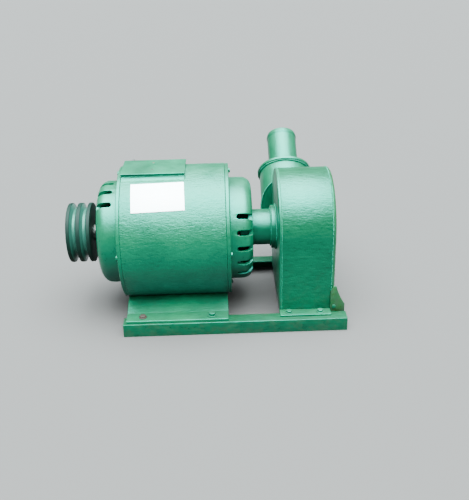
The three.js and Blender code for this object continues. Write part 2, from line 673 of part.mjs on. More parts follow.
// Pelton runner: a hub and disc with a ring of double buckets whose mouths face the nozzle
function halfBall(x, halfWidth, depth, halfHeight, rise, around) {
  const onBall = (angle) => new THREE.Vector2(Math.cos(angle * degrees), Math.sin(angle * degrees));
  const profile = [new THREE.Vector2(0, -1), onBall(BOWL_BEND), onBall(0)];
  if (rise > 0) profile.push(new THREE.Vector2(1, rise));
  profile.push(new THREE.Vector2(0, rise));
  const ball = new THREE.LatheGeometry(profile, around).scale(halfWidth, depth, halfHeight);
  return solid(ball.translate(x, 0, -BUCKET_RADIUS));
}

function bucketSkin() {
  const wall = BUCKET_WALL;
  const cupWidth = BUCKET_HALF_WIDTH / 2 - wall;
  const cupDepth = BUCKET_DEPTH - 2 * wall;
  const cupCentre = (BUCKET_HALF_WIDTH - wall / 2) / 2;
  const notchTop = NOTCH_DEPTH - BUCKET_RADIUS - BUCKET_HALF_HEIGHT;
  const notch = solid(block(-NOTCH_HALF_WIDTH, NOTCH_HALF_WIDTH, -PAST, PAST, notchTop - PAST, notchTop));
  let bucket = halfBall(0, BUCKET_HALF_WIDTH, BUCKET_DEPTH, BUCKET_HALF_HEIGHT, 0, AROUND_BUCKET);
  for (const x of [-cupCentre, cupCentre]) {
    const cup = halfBall(x, cupWidth, cupDepth, BUCKET_HALF_HEIGHT - wall, CUP_RISE, AROUND_CUP);
    bucket = bucket.subtract(cup);
  }
  return skinOf(bucket.subtract(notch));
}

function peltonRunner() {
  const bore = RUNNER_SEAT_RADIUS + GAP;
  let runner = solid(turnedX([
    [bore, -RUNNER_HUB_HALF], [RUNNER_HUB_RADIUS, -RUNNER_HUB_HALF], [RUNNER_HUB_RADIUS, -RUNNER_DISC_HALF],
    [RUNNER_DISC_RADIUS, -RUNNER_DISC_HALF], [RUNNER_DISC_RADIUS, RUNNER_DISC_HALF],
    [RUNNER_HUB_RADIUS, RUNNER_DISC_HALF], [RUNNER_HUB_RADIUS, RUNNER_HUB_HALF], [bore, RUNNER_HUB_HALF],
  ]));
  const bucket = bucketSkin();
  for (let i = 0; i < BUCKET_COUNT; i += 1) {
    runner = runner.add(solid(bucket.clone().rotateX((i * 2 * Math.PI) / BUCKET_COUNT)));
  }
  return skinOf(runner).translate(INLET_X, 0, 0);
}

piece('pelton_runner', peltonRunner(), bronze(), rotor);

const nutCentre = runnerRight + GAP + NUT_LENGTH / 2;
const nutPrism = new THREE.CylinderGeometry(NUT_RADIUS, NUT_RADIUS, NUT_LENGTH, NUT_SIDES);
const nutBlank = nutPrism.rotateZ(Math.PI / 2);
const nutHole = roundBar(-NUT_LENGTH, NUT_LENGTH, RUNNER_SEAT_RADIUS + GAP, AROUND_SMALL);
const nut = skinOf(solid(nutBlank).subtract(solid(nutHole)));
piece('runner_nut', nut.translate(nutCentre, 0, 0), brightSteel(), rotor);

// Origin in the middle of the machine's length and depth, level with the feet of the rails
const extent = new THREE.Box3().setFromObject(machine);
const centre = extent.getCenter(new THREE.Vector3());
machine.position.set(-centre.x, -centre.y, -extent.min.z);

export default machine;
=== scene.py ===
import json
import math

import bmesh
import bpy
from mathutils import Euler, Matrix, Vector


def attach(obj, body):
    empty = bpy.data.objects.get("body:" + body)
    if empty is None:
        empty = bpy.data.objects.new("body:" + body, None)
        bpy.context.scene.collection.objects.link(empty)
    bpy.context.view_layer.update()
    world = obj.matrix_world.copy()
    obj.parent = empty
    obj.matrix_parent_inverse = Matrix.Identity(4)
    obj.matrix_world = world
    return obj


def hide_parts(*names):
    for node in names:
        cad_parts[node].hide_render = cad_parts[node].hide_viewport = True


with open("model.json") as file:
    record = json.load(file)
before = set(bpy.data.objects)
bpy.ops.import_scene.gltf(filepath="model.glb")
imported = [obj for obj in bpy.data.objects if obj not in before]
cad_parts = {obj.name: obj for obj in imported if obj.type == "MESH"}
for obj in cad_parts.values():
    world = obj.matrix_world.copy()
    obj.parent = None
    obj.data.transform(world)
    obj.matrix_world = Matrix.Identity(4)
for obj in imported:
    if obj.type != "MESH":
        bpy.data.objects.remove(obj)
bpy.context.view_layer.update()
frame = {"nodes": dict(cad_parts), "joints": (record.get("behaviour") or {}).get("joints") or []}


# THE MACHINE'S PLACE
# The shaft runs along X, with the pulley at the left end and the turbine at the right end.
# Sizes of pieces are in millimetres, counted from the point on the shaft that the rotor turns about.
# The studio and the inputs of node trees are in metres.
MILLIMETRE = 0.001
SHAFT_POINT = Vector(frame["joints"][0]["pos_m"])


def at(x, y, z):
    return SHAFT_POINT + MILLIMETRE * Vector((x, y, z))


def in_scene(name, data):
    made = bpy.data.objects.new(name, data)
    bpy.context.scene.collection.objects.link(made)
    return made


# CAMERA
# It stands in front of the nameplate side and looks down on the machine, held by hand and a little tilted.
# Its place and its angle were fitted to the ends of the rails, the shell and the pulley in the photograph.
PHOTO_HEIGHT = 500
SENSOR = 36.0
FOCAL_PIXELS = 710.66
CAMERA_PITCH = math.radians(26.19)
CAMERA_YAW = math.radians(0.86)
CAMERA_ROLL = math.radians(1.43)
CAMERA_DISTANCE = 1354.77
CAMERA_ASIDE = 3.38
CAMERA_RAISED = 42.91

ahead = Vector((math.sin(CAMERA_YAW) * math.cos(CAMERA_PITCH),
                math.cos(CAMERA_YAW) * math.cos(CAMERA_PITCH),
                -math.sin(CAMERA_PITCH)))
level = Vector((math.cos(CAMERA_YAW), -math.sin(CAMERA_YAW), 0.0))
upward = level.cross(ahead)
lens_right = math.cos(CAMERA_ROLL) * level - math.sin(CAMERA_ROLL) * upward
lens_up = math.sin(CAMERA_ROLL) * level + math.cos(CAMERA_ROLL) * upward
eye = at(*(CAMERA_ASIDE * level - CAMERA_RAISED * upward - CAMERA_DISTANCE * ahead))

camera_data = bpy.data.cameras.new("photo_camera")
camera_data.sensor_width = SENSOR
camera_data.lens = SENSOR * FOCAL_PIXELS / PHOTO_HEIGHT
camera = in_scene("photo_camera", camera_data)
turn = Matrix((lens_right, lens_up, -ahead)).transposed()
camera.matrix_world = Matrix.Translation(eye) @ turn.to_4x4()
bpy.context.scene.camera = camera


# STUDIO
# A plain grey floor under a cloudy sky that is bright almost straight above and dim all round.
# Its bright part leans a little to the front. A weaker light in front and two faint ones soften the shadows.
FLOOR_HALF_SIZE = 6.0
FLOOR_COLOUR = (0.052, 0.044, 0.042)
FLOOR_MOTTLE = (0.047, 0.040, 0.038)
SKY_COLOUR = (0.80, 0.97, 1.0)
SKY_LOW = 0.10
SKY_HIGH = 56.0
SKY_EDGE = 0.68
SKY_LEAN = (0.0, -0.14, 0.99)


def feed(tree, node, inputs):
    """Gives inputs of a node a value, a colour or the output of another node"""
    for key, value in inputs.items():
        socket = node.inputs[key]
        if isinstance(value, bpy.types.NodeSocket):
            tree.links.new(value, socket)
        elif socket.type == "RGBA":
            socket.default_value = (*value, 1.0)
        else:
            socket.default_value = value


def put(tree, kind, inputs, **settings):
    made = tree.nodes.new(kind)
    for name, value in settings.items():
        setattr(made, name, value)
    feed(tree, made, inputs)
    return made


def noise(tree, place, scale, detail, roughness=0.5):
    settings = {"Vector": place, "Scale": scale, "Detail": detail, "Roughness": roughness}
    return put(tree, "ShaderNodeTexNoise", settings).outputs["Fac"]


def ramp(tree, value, low, high, to_low=0.0, to_high=1.0):
    settings = {"Value": value, "From Min": low, "From Max": high, "To Min": to_low, "To Max": to_high}
    return put(tree, "ShaderNodeMapRange", settings).outputs["Result"]


def blended(tree, factor, first, second):
    return put(tree, "ShaderNodeMix", {0: factor, 6: first, 7: second}, data_type="RGBA").outputs[2]


def sums(tree, operation, first, second=0.0):
    return put(tree, "ShaderNodeMath", {0: first, 1: second}, operation=operation).outputs[0]


def times(tree, first, second):
    return sums(tree, "MULTIPLY", first, second)


def plus(tree, first, second):
    return sums(tree, "ADD", first, second)


def vectors(tree, operation, first, second=(0, 0, 0)):
    made = put(tree, "ShaderNodeVectorMath", {0: first, 1: second}, operation=operation)
    return made.outputs["Value" if operation in ("DOT_PRODUCT", "LENGTH") else "Vector"]


def new_material(name):
    material = bpy.data.materials.new(name)
    material.use_nodes = True
    tree = material.node_tree
    place = tree.nodes.new("ShaderNodeTexCoord").outputs["Object"]
    return material, tree, tree.nodes["Principled BSDF"], place


floor_paint, tree, shader, place = new_material("grey_floor")
floor_mottle = ramp(tree, noise(tree, place, 3.0, 4.0), 0.3, 0.7, 0.0, 0.06)
feed(tree, shader, {"Base Color": blended(tree, floor_mottle, FLOOR_COLOUR, FLOOR_MOTTLE), "Roughness": 0.85})

floor_mesh = bmesh.new()
bmesh.ops.create_grid(floor_mesh, x_segments=1, y_segments=1, size=FLOOR_HALF_SIZE)
floor_data = bpy.data.meshes.new("studio_floor")
floor_mesh.to_mesh(floor_data)
floor_mesh.free()
floor_data.materials.append(floor_paint)
in_scene("studio_floor", floor_data)

sky = bpy.data.worlds.new("studio_sky")
sky.use_nodes = True
tree = sky.node_tree
direction = tree.nodes.new("ShaderNodeTexCoord").outputs["Generated"]
height = vectors(tree, "DOT_PRODUCT", direction, SKY_LEAN)
feed(tree, tree.nodes["Background"],
     {"Color": SKY_COLOUR, "Strength": ramp(tree, height, SKY_EDGE, 1.0, SKY_LOW, SKY_HIGH)})
bpy.context.scene.world = sky


def soft_light(name, place, target, size, power, colour):
    data = bpy.data.lights.new(name, "AREA")
    data.shape = "RECTANGLE"
    data.size, data.size_y = size
    data.energy = power
    data.color = colour
    facing = (Vector(target) - Vector(place)).to_track_quat("-Z", "Y").to_matrix().to_4x4()
    in_scene(name, data).matrix_world = Matrix.Translation(place) @ facing


soft_light("light_from_behind", (0.0, 2.2, 1.5), (0.0, -0.05, 0.15), (2.4, 0.9), 5.0, (0.94, 1.0, 0.99))
soft_light("light_from_left", (-1.8, -1.2, 1.1), (0.0, -0.05, 0.15), (1.2, 1.2), 1.0, (0.93, 0.97, 1.0))
soft_light("light_from_front", (0.3, -2.3, 1.5), (0.0, -0.05, 0.1), (2.2, 0.9), 16.0, (0.95, 1.0, 0.90))


# BASE FRAME
# Two rails and two cross members of one-inch angle iron, sawn to length and welded, then painted by brush.
# The rails stand on their upright legs and carry the machine on their flat ones.
# The paint is the same gloss enamel all over the machine, thick enough to keep the marks of the brush.
ANGLE_LEG = 25.4
ANGLE_WALL = 3.2
ANGLE_TOE = 1.6
ANGLE_ROOT = 3.0
ANGLE_HEEL = 0.9
ANGLE_TIP = 0.5
SAWN_EDGE = 0.45
RAIL_TOP = -129.0
RAIL_BOTTOM = RAIL_TOP - ANGLE_LEG
RAIL_FACE = 131.3
RAIL_LEFT = -205.0
RAIL_RIGHT = 205.0
CLEAR = 0.3
LEFT_MEMBER = -190.0
RIGHT_MEMBER = 187.0

ENAMEL = (0.001, 0.054, 0.023)
ENAMEL_DEEP = (0.001, 0.035, 0.015)
ENAMEL_THIN = (0.003, 0.105, 0.045)
DUST = (0.05, 0.19, 0.12)
MUD = (0.022, 0.026, 0.011)
# Near-black green of the painted shade under surfaces that face down
PAINTED_SHADE_BELOW = (0.001, 0.009, 0.004)
GLOSS_TINT = (0.10, 1.0, 0.80)
SOCKET_KINDS = {tuple: "NodeSocketVector", float: "NodeSocketFloat", int: "NodeSocketInt"}


def name_inputs(tree, inputs):
    """Named inputs of a tree, each given by its first value or, where it has none, by its kind of socket"""
    for name, value in inputs.items():
        kind = value if isinstance(value, str) else SOCKET_KINDS[type(value)]
        made = tree.interface.new_socket(name=name, in_out="INPUT", socket_type=kind)
        if kind != value:
            made.default_value = value


def shader_group(name, inputs, outputs):
    group = bpy.data.node_groups.new(name, "ShaderNodeTree")
    name_inputs(group, inputs)
    for socket in outputs:
        group.interface.new_socket(name=socket, in_out="OUTPUT", socket_type="NodeSocketFloat")
    return group, group.nodes.new("NodeGroupInput").outputs, group.nodes.new("NodeGroupOutput")


def use_group(tree, group, inputs):
    return put(tree, "ShaderNodeGroup", inputs, node_tree=group).outputs


def drawn_out(tree, place, factors):
    """Coordinates that draw a pattern out along the axes with the smaller factors"""
    return vectors(tree, "MULTIPLY", place, factors)


def relief(tree, height, depth):
    """Surface whose pattern stands up by a depth in millimetres"""
    settings = {"Height": height, "Strength": 1.0, "Distance": depth * MILLIMETRE}
    return put(tree, "ShaderNodeBump", settings).outputs["Normal"]


# Marks of the brush: long strokes, finer bristle lines and the orange skin of thick enamel
brush_marks, entry, leave = shader_group(
    "brush_marks", {"Place": (0, 0, 0), "Stroke": (75, 290, 290), "Skin": 420.0}, ("Height", "Strokes"))
tree = brush_marks
drawn = drawn_out(tree, entry["Place"], entry["Stroke"])
strokes = noise(tree, drawn, 1.0, 3.0, 0.6)
bristles = noise(tree, drawn, 2.6, 2.0, 0.5)
skin = noise(tree, entry["Place"], entry["Skin"], 1.0)
sag = noise(tree, entry["Place"], 38.0, 2.0)
fine = plus(tree, times(tree, bristles, 0.30), times(tree, skin, 0.22))
coarse = plus(tree, times(tree, strokes, 0.55), times(tree, sag, 0.75))
feed(tree, leave, {"Height": plus(tree, fine, coarse), "Strokes": ramp(tree, strokes, 0.35, 0.68)})

# Dust on what faces the sky, painted shade on what faces down, and mud splashed up from below
weathering_and_shade, entry, leave = shader_group(
    "weathering_and_shade", {"Place": (0, 0, 0), "Dust": 0.5, "Splash Height": 0.09, "Mud": 0.5},
    ("Dust", "Painted Shade", "Mud"))
tree = weathering_and_shade
normal = tree.nodes.new("ShaderNodeNewGeometry").outputs["Normal"]
facing_up = put(tree, "ShaderNodeSeparateXYZ", {0: normal}).outputs["Z"]
patches = noise(tree, entry["Place"], 22.0, 5.0, 0.62)
settled = times(tree, ramp(tree, facing_up, 0.25, 1.0), ramp(tree, patches, 0.34, 0.66))
# Painted shade: a mask of the surfaces that face down, with a wavy edge
wavy = ramp(tree, patches, 0.3, 0.7, -0.12, 0.12)
below = ramp(tree, plus(tree, facing_up, wavy), -0.20, -0.75)
height = put(tree, "ShaderNodeSeparateXYZ", {0: entry["Place"]}).outputs["Z"]
wet = ramp(tree, sums(tree, "DIVIDE", height, entry["Splash Height"]), 1.0, 0.1)
speckle = ramp(tree, noise(tree, entry["Place"], 95.0, 5.0, 0.7), 0.46, 0.64)
feed(tree, leave, {"Dust": times(tree, settled, entry["Dust"]), "Painted Shade": times(tree, below, 0.9),
                   "Mud": times(tree, times(tree, wet, speckle), entry["Mud"])})

# Edges where the paint has run thin: there the bevelled normal and the plain one disagree
edge_wear, entry, leave = shader_group(
    "edge_wear", {"Place": (0, 0, 0), "Width": 0.0016, "Break Up": 90.0}, ("Wear",))
tree = edge_wear
rounded_normal = put(tree, "ShaderNodeBevel", {"Radius": entry["Width"]}, samples=3).outputs["Normal"]
flat_normal = tree.nodes.new("ShaderNodeNewGeometry").outputs["Normal"]
bend = ramp(tree, vectors(tree, "DOT_PRODUCT", rounded_normal, flat_normal), 0.985, 0.88)
chips = ramp(tree, noise(tree, entry["Place"], entry["Break Up"], 4.0, 0.65), 0.40, 0.62)
feed(tree, leave, {"Wear": times(tree, bend, chips)})


def enamel(name, stroke, dust=0.12, splash=0.10, mud=0.3, depth=0.55, wear=0.0016, colour=ENAMEL,
           deep=ENAMEL_DEEP, roughness=0.27):
    material, tree, shader, place = new_material(name)
    marks = use_group(tree, brush_marks, {"Place": place, "Stroke": stroke})
    weather_and_shade = use_group(tree, weathering_and_shade, {"Place": place, "Dust": dust, "Splash Height": splash, "Mud": mud})
    edges = use_group(tree, edge_wear, {"Place": place, "Width": wear})
    paint = blended(tree, ramp(tree, noise(tree, place, 13.0, 4.0), 0.32, 0.68), colour, deep)
    # Over the paint: thin paint along strokes and worn edges, dust, painted shade under downward faces, and
    # mud
    for share, over in ((times(tree, marks["Strokes"], 0.22), ENAMEL_THIN),
                        (times(tree, edges["Wear"], 0.55), ENAMEL_THIN),
                        (weather_and_shade["Dust"], DUST), (weather_and_shade["Painted Shade"], PAINTED_SHADE_BELOW), (weather_and_shade["Mud"], MUD)):
        paint = blended(tree, share, paint, over)
    dull = sums(tree, "MAXIMUM", sums(tree, "MAXIMUM", weather_and_shade["Dust"], weather_and_shade["Mud"]), weather_and_shade["Painted Shade"])
    gloss = plus(tree, times(tree, marks["Strokes"], 0.08), roughness)
    feed(tree, shader, {"Base Color": paint, "Roughness": plus(tree, gloss, times(tree, dull, 0.42)),
                        "IOR": 1.5, "Specular IOR Level": 0.65, "Specular Tint": GLOSS_TINT,
                        "Normal": relief(tree, marks["Height"], depth)})
    return material


rail_enamel = enamel("rail_enamel", (75, 290, 290), dust=0.04, splash=0.06, mud=0.5,
                     colour=(0.001, 0.030, 0.010), deep=(0.001, 0.022, 0.008))
member_enamel = enamel("member_enamel", (300, 30, 300), dust=0.2, splash=0.06, mud=0.8)


def eased(outline, steps=4):
    """Outline of (u, v, easing) corners with each corner rounded by its own radius"""
    points = []
    for i, (u, v, easing) in enumerate(outline):
        corner = Vector((u, v))
        before = Vector(outline[i - 1][:2]) - corner
        after = Vector(outline[(i + 1) % len(outline)][:2]) - corner
        opening = before.angle(after) if before.length and after.length else math.pi
        if easing <= 0 or opening > math.radians(178):
            points.append((u, v))
            continue
        reach = min(easing / math.tan(opening / 2), before.length * 0.48, after.length * 0.48)
        radius = reach * math.tan(opening / 2)
        before.normalize()
        after.normalize()
        middle = corner + (before + after).normalized() * (radius / math.sin(opening / 2))
        start = corner + before * reach - middle
        sweep = start.angle_signed(corner + after * reach - middle)
        for step in range(steps + 1):
            spoke = start.copy()
            spoke.rotate(Matrix.Rotation(-sweep * step / steps, 2))
            points.append(tuple(middle + spoke))
    return points


def as_data(name, mesh):
    data = bpy.data.meshes.new(name)
    mesh.to_mesh(data)
    mesh.free()
    return data


def smoothed(data, below=38.0):
    """Smooth mesh, with its edges sharp only where they bend by more than an angle in degrees"""
    data.shade_smooth()
    data.set_sharp_from_angle(angle=math.radians(below))
    return data


def skinned(name, *bodies, looped=False):
    """Object with a skin over each body: a list of rings of points, where a ring of one point is a pole.
    The first ring and the last one get caps, or meet each other where the bodies are looped."""
    mesh = bmesh.new()
    for rings in bodies:
        around = max(len(ring) for ring in rings)
        rows = []
        for ring in rings:
            row = [mesh.verts.new(point) for point in ring]
            rows.append(row if len(row) > 1 else row * around)
        for near, far in zip(rows, rows[1:] + (rows[:1] if looped else [])):
            for i in range(around):
                j = (i + 1) % around
                corners = list(dict.fromkeys((near[i], near[j], far[j], far[i])))
                if len(corners) > 2:
                    mesh.faces.new(corners)
        for cap in () if looped else (rows[0][::-1], rows[-1]):
            if cap[0] != cap[1]:
                mesh.faces.new(cap)
    bmesh.ops.remove_doubles(mesh, verts=mesh.verts, dist=1e-6)
    bmesh.ops.recalc_face_normals(mesh, faces=mesh.faces)
    return in_scene(name, smoothed(as_data(name, mesh)))


def settle(piece, smooth_below=38.0):
    """Turns a piece with modifiers into a plain mesh"""
    graph = bpy.context.evaluated_depsgraph_get()
    data = bpy.data.meshes.new_from_object(piece.evaluated_get(graph))
    piece.modifiers.clear()
    piece.data = smoothed(data, smooth_below)
    return piece


def round_edges(piece, width, above=60.0, segments=2):
    bevel = piece.modifiers.new("rounding", "BEVEL")
    bevel.width = width * MILLIMETRE
    bevel.segments = segments
    bevel.limit_method = "ANGLE"
    bevel.angle_limit = math.radians(above)
    return settle(piece)


def bar_of(name, outline, along, low, high):
    """Solid bar: an outline of (y, z) points pushed along X, or of (x, z) points pushed along Y"""
    return skinned(name, [[at(reach, u, v) if along == "X" else at(u, reach, v) for u, v in outline]
                          for reach in (low, high)])


def hand_over(piece, material, *nodes, slot="green_enamel", body="frame"):
    """Paints a finished piece and fixes it to its body, in place of the nodes that it stands for"""
    piece.data.materials.clear()
    piece.data.materials.append(material)
    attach(piece, body)
    if nodes:
        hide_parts(*nodes)


def angle_section(corner_u, corner_v, inward):
    """Corner of the angle iron at (u, v): one leg hangs down to the rails' feet, the other reaches inwards"""
    far = corner_u + inward * ANGLE_LEG
    near = corner_u + inward * ANGLE_WALL
    under = corner_v - ANGLE_WALL
    return eased([(corner_u, corner_v, ANGLE_HEEL), (far, corner_v, ANGLE_TIP), (far, under, ANGLE_TOE),
                  (near, under, ANGLE_ROOT), (near, RAIL_BOTTOM, ANGLE_TOE),
                  (corner_u, RAIL_BOTTOM, ANGLE_TIP)])


for side, name in ((-1, "front_base_rail"), (1, "rear_base_rail")):
    section = angle_section(side * RAIL_FACE, RAIL_TOP, -side)
    rail = bar_of(name + "_iron", section, "X", RAIL_LEFT, RAIL_RIGHT)
    hand_over(round_edges(rail, SAWN_EDGE), rail_enamel, name)

rail_inside = RAIL_FACE - ANGLE_WALL
member_reach = rail_inside - CLEAR
member_top = RAIL_TOP - ANGLE_WALL - CLEAR
for edge, inward, name in ((LEFT_MEMBER, 1, "left_cross_member"), (RIGHT_MEMBER, -1, "right_cross_member")):
    member = bar_of(name + "_iron", angle_section(edge, member_top, inward), "Y", -member_reach, member_reach)
    hand_over(round_edges(member, SAWN_EDGE), member_enamel, name)


# WELDS OF THE BASE
# Each cross member is welded to the upright legs of the rails at both of its ends.
# A bead is a row of flat ripples, laid along a line and painted over with the rest.
BEAD_PITCH = 0.36
MEMBER_BEAD = 4.6

weld_enamel = enamel("weld_enamel", (75, 290, 290), splash=0.07, mud=0.55, roughness=0.33, wear=0.001)


def new_tree(name, inputs):
    tree = bpy.data.node_groups.new(name, "GeometryNodeTree")
    tree.interface.new_socket(name="Geometry", in_out="INPUT", socket_type="NodeSocketGeometry")
    name_inputs(tree, {**inputs, "Material": "NodeSocketMaterial"})
    tree.interface.new_socket(name="Geometry", in_out="OUTPUT", socket_type="NodeSocketGeometry")
    return tree, tree.nodes.new("NodeGroupInput").outputs


def end_with_copies(tree, material, inputs):
    """Last nodes of a tree: a copy at each point, all made one real mesh and painted"""
    copies = put(tree, "GeometryNodeInstanceOnPoints", inputs).outputs["Instances"]
    solid = put(tree, "GeometryNodeRealizeInstances", {"Geometry": copies}).outputs["Geometry"]
    painted = put(tree, "GeometryNodeSetMaterial", {"Geometry": solid, "Material": material})
    feed(tree, tree.nodes.new("NodeGroupOutput"), {"Geometry": painted.outputs["Geometry"]})


def grow(piece, tree, values, smooth_below=38.0):
    """Runs a geometry tree on a piece and keeps the result as its plain mesh"""
    modifier = piece.modifiers.new(tree.name, "NODES")
    modifier.node_group = tree
    for item in tree.interface.items_tree:
        if item.in_out == "INPUT" and item.name in values:
            modifier[item.identifier] = values[item.name]
    return settle(piece, smooth_below)


bead_tree, entry = new_tree("weld_bead", {"Width": 0.005, "Pitch": 0.0018, "Seed": 1})
tree = bead_tree
line = put(tree, "GeometryNodeMeshToCurve", {"Mesh": entry["Geometry"]}).outputs["Curve"]
stops = put(tree, "GeometryNodeCurveToPoints", {"Curve": line, "Length": entry["Pitch"]}, mode="LENGTH")
ripple = put(tree, "GeometryNodeMeshUVSphere", {"Segments": 12, "Rings": 6, "Radius": 0.5}).outputs["Mesh"]
uneven = put(tree, "FunctionNodeRandomValue", {2: 0.82, 3: 1.15, "Seed": entry["Seed"]}, data_type="FLOAT")
broad = times(tree, uneven.outputs[1], entry["Width"])
flat = times(tree, broad, 0.62)
shape = put(tree, "ShaderNodeCombineXYZ", {"X": broad, "Y": broad, "Z": flat}).outputs["Vector"]
end_with_copies(tree, entry["Material"], {"Points": stops.outputs["Points"], "Instance": ripple,
                                          "Rotation": stops.outputs["Rotation"], "Scale": shape})


def weld(name, lines, width, seed):
    """Weld beads along lists of points"""
    mesh = bmesh.new()
    for points in lines:
        corners = [mesh.verts.new(point) for point in points]
        for first, second in zip(corners, corners[1:]):
            mesh.edges.new((first, second))
    piece = in_scene(name, as_data(name, mesh))
    hand_over(grow(piece, bead_tree, {"Width": width * MILLIMETRE, "Pitch": BEAD_PITCH * width * MILLIMETRE,
                                      "Seed": seed, "Material": weld_enamel}, 60.0), weld_enamel)


member_welds = []
for side in (-1, 1):
    for edge, inward in ((LEFT_MEMBER, 1), (RIGHT_MEMBER, -1)):
        y = side * (rail_inside - 1.0)
        x = edge - inward * 0.8
        member_welds.append([at(x, y, RAIL_BOTTOM + 2.0), at(x, y, member_top - 1.5)])
weld("base_frame_welds", member_welds, MEMBER_BEAD, 3)


# GENERATOR SHELL
# A rolled steel shell, open at both ends, which holds the laminated core.
# Its brush strokes run along the shaft, and the thick enamel on it is wrinkled all over.
SHELL_RADIUS = 123.0
SHELL_WALL = 5.5
SHELL_LEFT = -197.5
SHELL_RIGHT = -11.2

shell_enamel = enamel("shell_enamel", (80, 270, 270), dust=0.25, splash=0.11, mud=0.35, depth=1.15)


def about_shaft(radius, along, angle):
    return at(along, -radius * math.cos(angle), radius * math.sin(angle))


def ring_around(place, radius, along, steps):
    """Points at a radius around an axis, or the one point on it"""
    return [place(radius, along, math.tau * i / steps) for i in range(steps if radius else 1)]


def turned(name, profile, steps, place=about_shaft, rounding=4):
    """Body turned about an axis from (radius, along, easing) corners, either a ring or from pole to pole"""
    rings = [ring_around(place, radius, along, steps) for radius, along in eased(profile, rounding)]
    return skinned(name, rings, looped=profile[0][0] > 0)


def pipe_section(inner, outer, low, high, easings):
    """Outline of a pipe or a ring, whose corners are eased in turn from the inner one at its low end"""
    corners = ((inner, low), (outer, low), (outer, high), (inner, high))
    return [(*corner, easing) for corner, easing in zip(corners, easings)]


shell_roll = pipe_section(SHELL_RADIUS - SHELL_WALL, SHELL_RADIUS, SHELL_LEFT, SHELL_RIGHT,
                          (0.6, 1.3, 1.3, 0.6))
hand_over(turned("generator_shell_roll", shell_roll, 240), shell_enamel, "generator_shell")


# CORE AND WINDINGS
# Varnished iron sheets stacked into a ring, with a bundle of copper wire standing out at each of its ends.
# Each bundle is bound with cord. Little of this shows, and only through the vents of the end bells.
CORE_LEFT = -172.0
CORE_RIGHT = -38.0
WINDING_INNER = 85.0
WINDING_OUTER = 112.0
WINDING_LENGTH = 20.0
WINDING_CORNER = 9.0
LACING_COUNT = 36
LACING_STEPS = 28
CORD_RADIUS = 1.1
CORD_SIDES = 6

core_iron, tree, shader, place = new_material("core_iron")
sheets = put(tree, "ShaderNodeTexWave", {"Vector": place, "Scale": 320.0, "Distortion": 0.2},
             wave_type="BANDS", bands_direction="X").outputs["Fac"]
tone = blended(tree, sheets, (0.06, 0.055, 0.05), (0.14, 0.125, 0.11))
rust = ramp(tree, noise(tree, place, 40.0, 3.0), 0.4, 0.7)
feed(tree, shader, {"Base Color": blended(tree, rust, tone, (0.09, 0.05, 0.03)), "Metallic": 0.7,
                    "Roughness": 0.55, "Normal": relief(tree, sheets, 0.15)})


def paint_nodes(material, *nodes):
    for node in nodes:
        frame["nodes"][node].data.materials.clear()
        frame["nodes"][node].data.materials.append(material)


paint_nodes(core_iron, "stator_core", "rotor_core")

copper_wire, tree, shader, place = new_material("copper_wire")
wires = noise(tree, drawn_out(tree, place, (1400.0, 90.0, 90.0)), 1.0, 2.0)
copper = blended(tree, ramp(tree, wires, 0.35, 0.65), (0.20, 0.060, 0.018), (0.42, 0.150, 0.045))
feed(tree, shader, {"Base Color": copper, "Metallic": 0.5, "Roughness": 0.32,
                    "Normal": relief(tree, wires, 0.6)})

ring_tree, entry = new_tree("ring_of_pieces", {"Centre": (0, 0, 0), "Count": 12})
tree = ring_tree
spots = put(tree, "GeometryNodeMeshLine",
            {"Count": entry["Count"], "Start Location": entry["Centre"], "Offset": (0, 0, 0)}).outputs["Mesh"]
index = tree.nodes.new("GeometryNodeInputIndex").outputs[0]
sweep = times(tree, index, sums(tree, "DIVIDE", math.tau, entry["Count"]))
spin = put(tree, "ShaderNodeCombineXYZ", {"X": sweep}).outputs["Vector"]
end_with_copies(tree, entry["Material"], {"Points": spots, "Instance": entry["Geometry"], "Rotation": spin})


def ring_of(piece, count, material):
    """Repeats a piece, drawn about the origin, around the shaft"""
    return grow(piece, ring_tree, {"Centre": SHAFT_POINT, "Count": count, "Material": material})


def joined(name, pieces):
    """One object from several"""
    mesh = bmesh.new()
    for piece in pieces:
        mesh.from_mesh(piece.data)
        bpy.data.objects.remove(piece)
    return in_scene(name, smoothed(as_data(name, mesh)))


def lacing_loop(x, half_length):
    """One turn of binding cord around the bundle, drawn above the origin"""
    middle = (WINDING_INNER + WINDING_OUTER) / 2
    half = (WINDING_OUTER - WINDING_INNER) / 2
    rings = []
    for i in range(LACING_STEPS):
        angle = math.tau * i / LACING_STEPS
        out = Vector((0, math.cos(angle), math.sin(angle)))
        spot = Vector((x + half_length * out.y, 0, middle + half * out.z))
        ring = []
        for j in range(CORD_SIDES):
            side = math.tau * j / CORD_SIDES
            offset = Vector((out.y * math.cos(side), math.sin(side), out.z * math.cos(side))) * CORD_RADIUS
            ring.append(MILLIMETRE * (spot + offset))
        rings.append(ring)
    return skinned("lacing_loop", rings, looped=True)


for name, start, away in (("left_winding", CORE_LEFT - CLEAR, -1), ("right_winding", CORE_RIGHT + CLEAR, 1)):
    end = start + away * (WINDING_LENGTH - 1.2)
    roll = pipe_section(WINDING_INNER + 1, WINDING_OUTER - 1, start, end,
                        (0.5, 0.5, WINDING_CORNER, WINDING_CORNER))
    bundle = turned(name + "_bundle", roll, 96, rounding=7)
    loop = lacing_loop((start + end) / 2 + away * 0.3, (WINDING_LENGTH - 2.6) / 2)
    loops = ring_of(loop, LACING_COUNT, copper_wire)
    hand_over(joined(name + "_wires", [bundle, loops]), copper_wire, name, slot="varnished_copper")


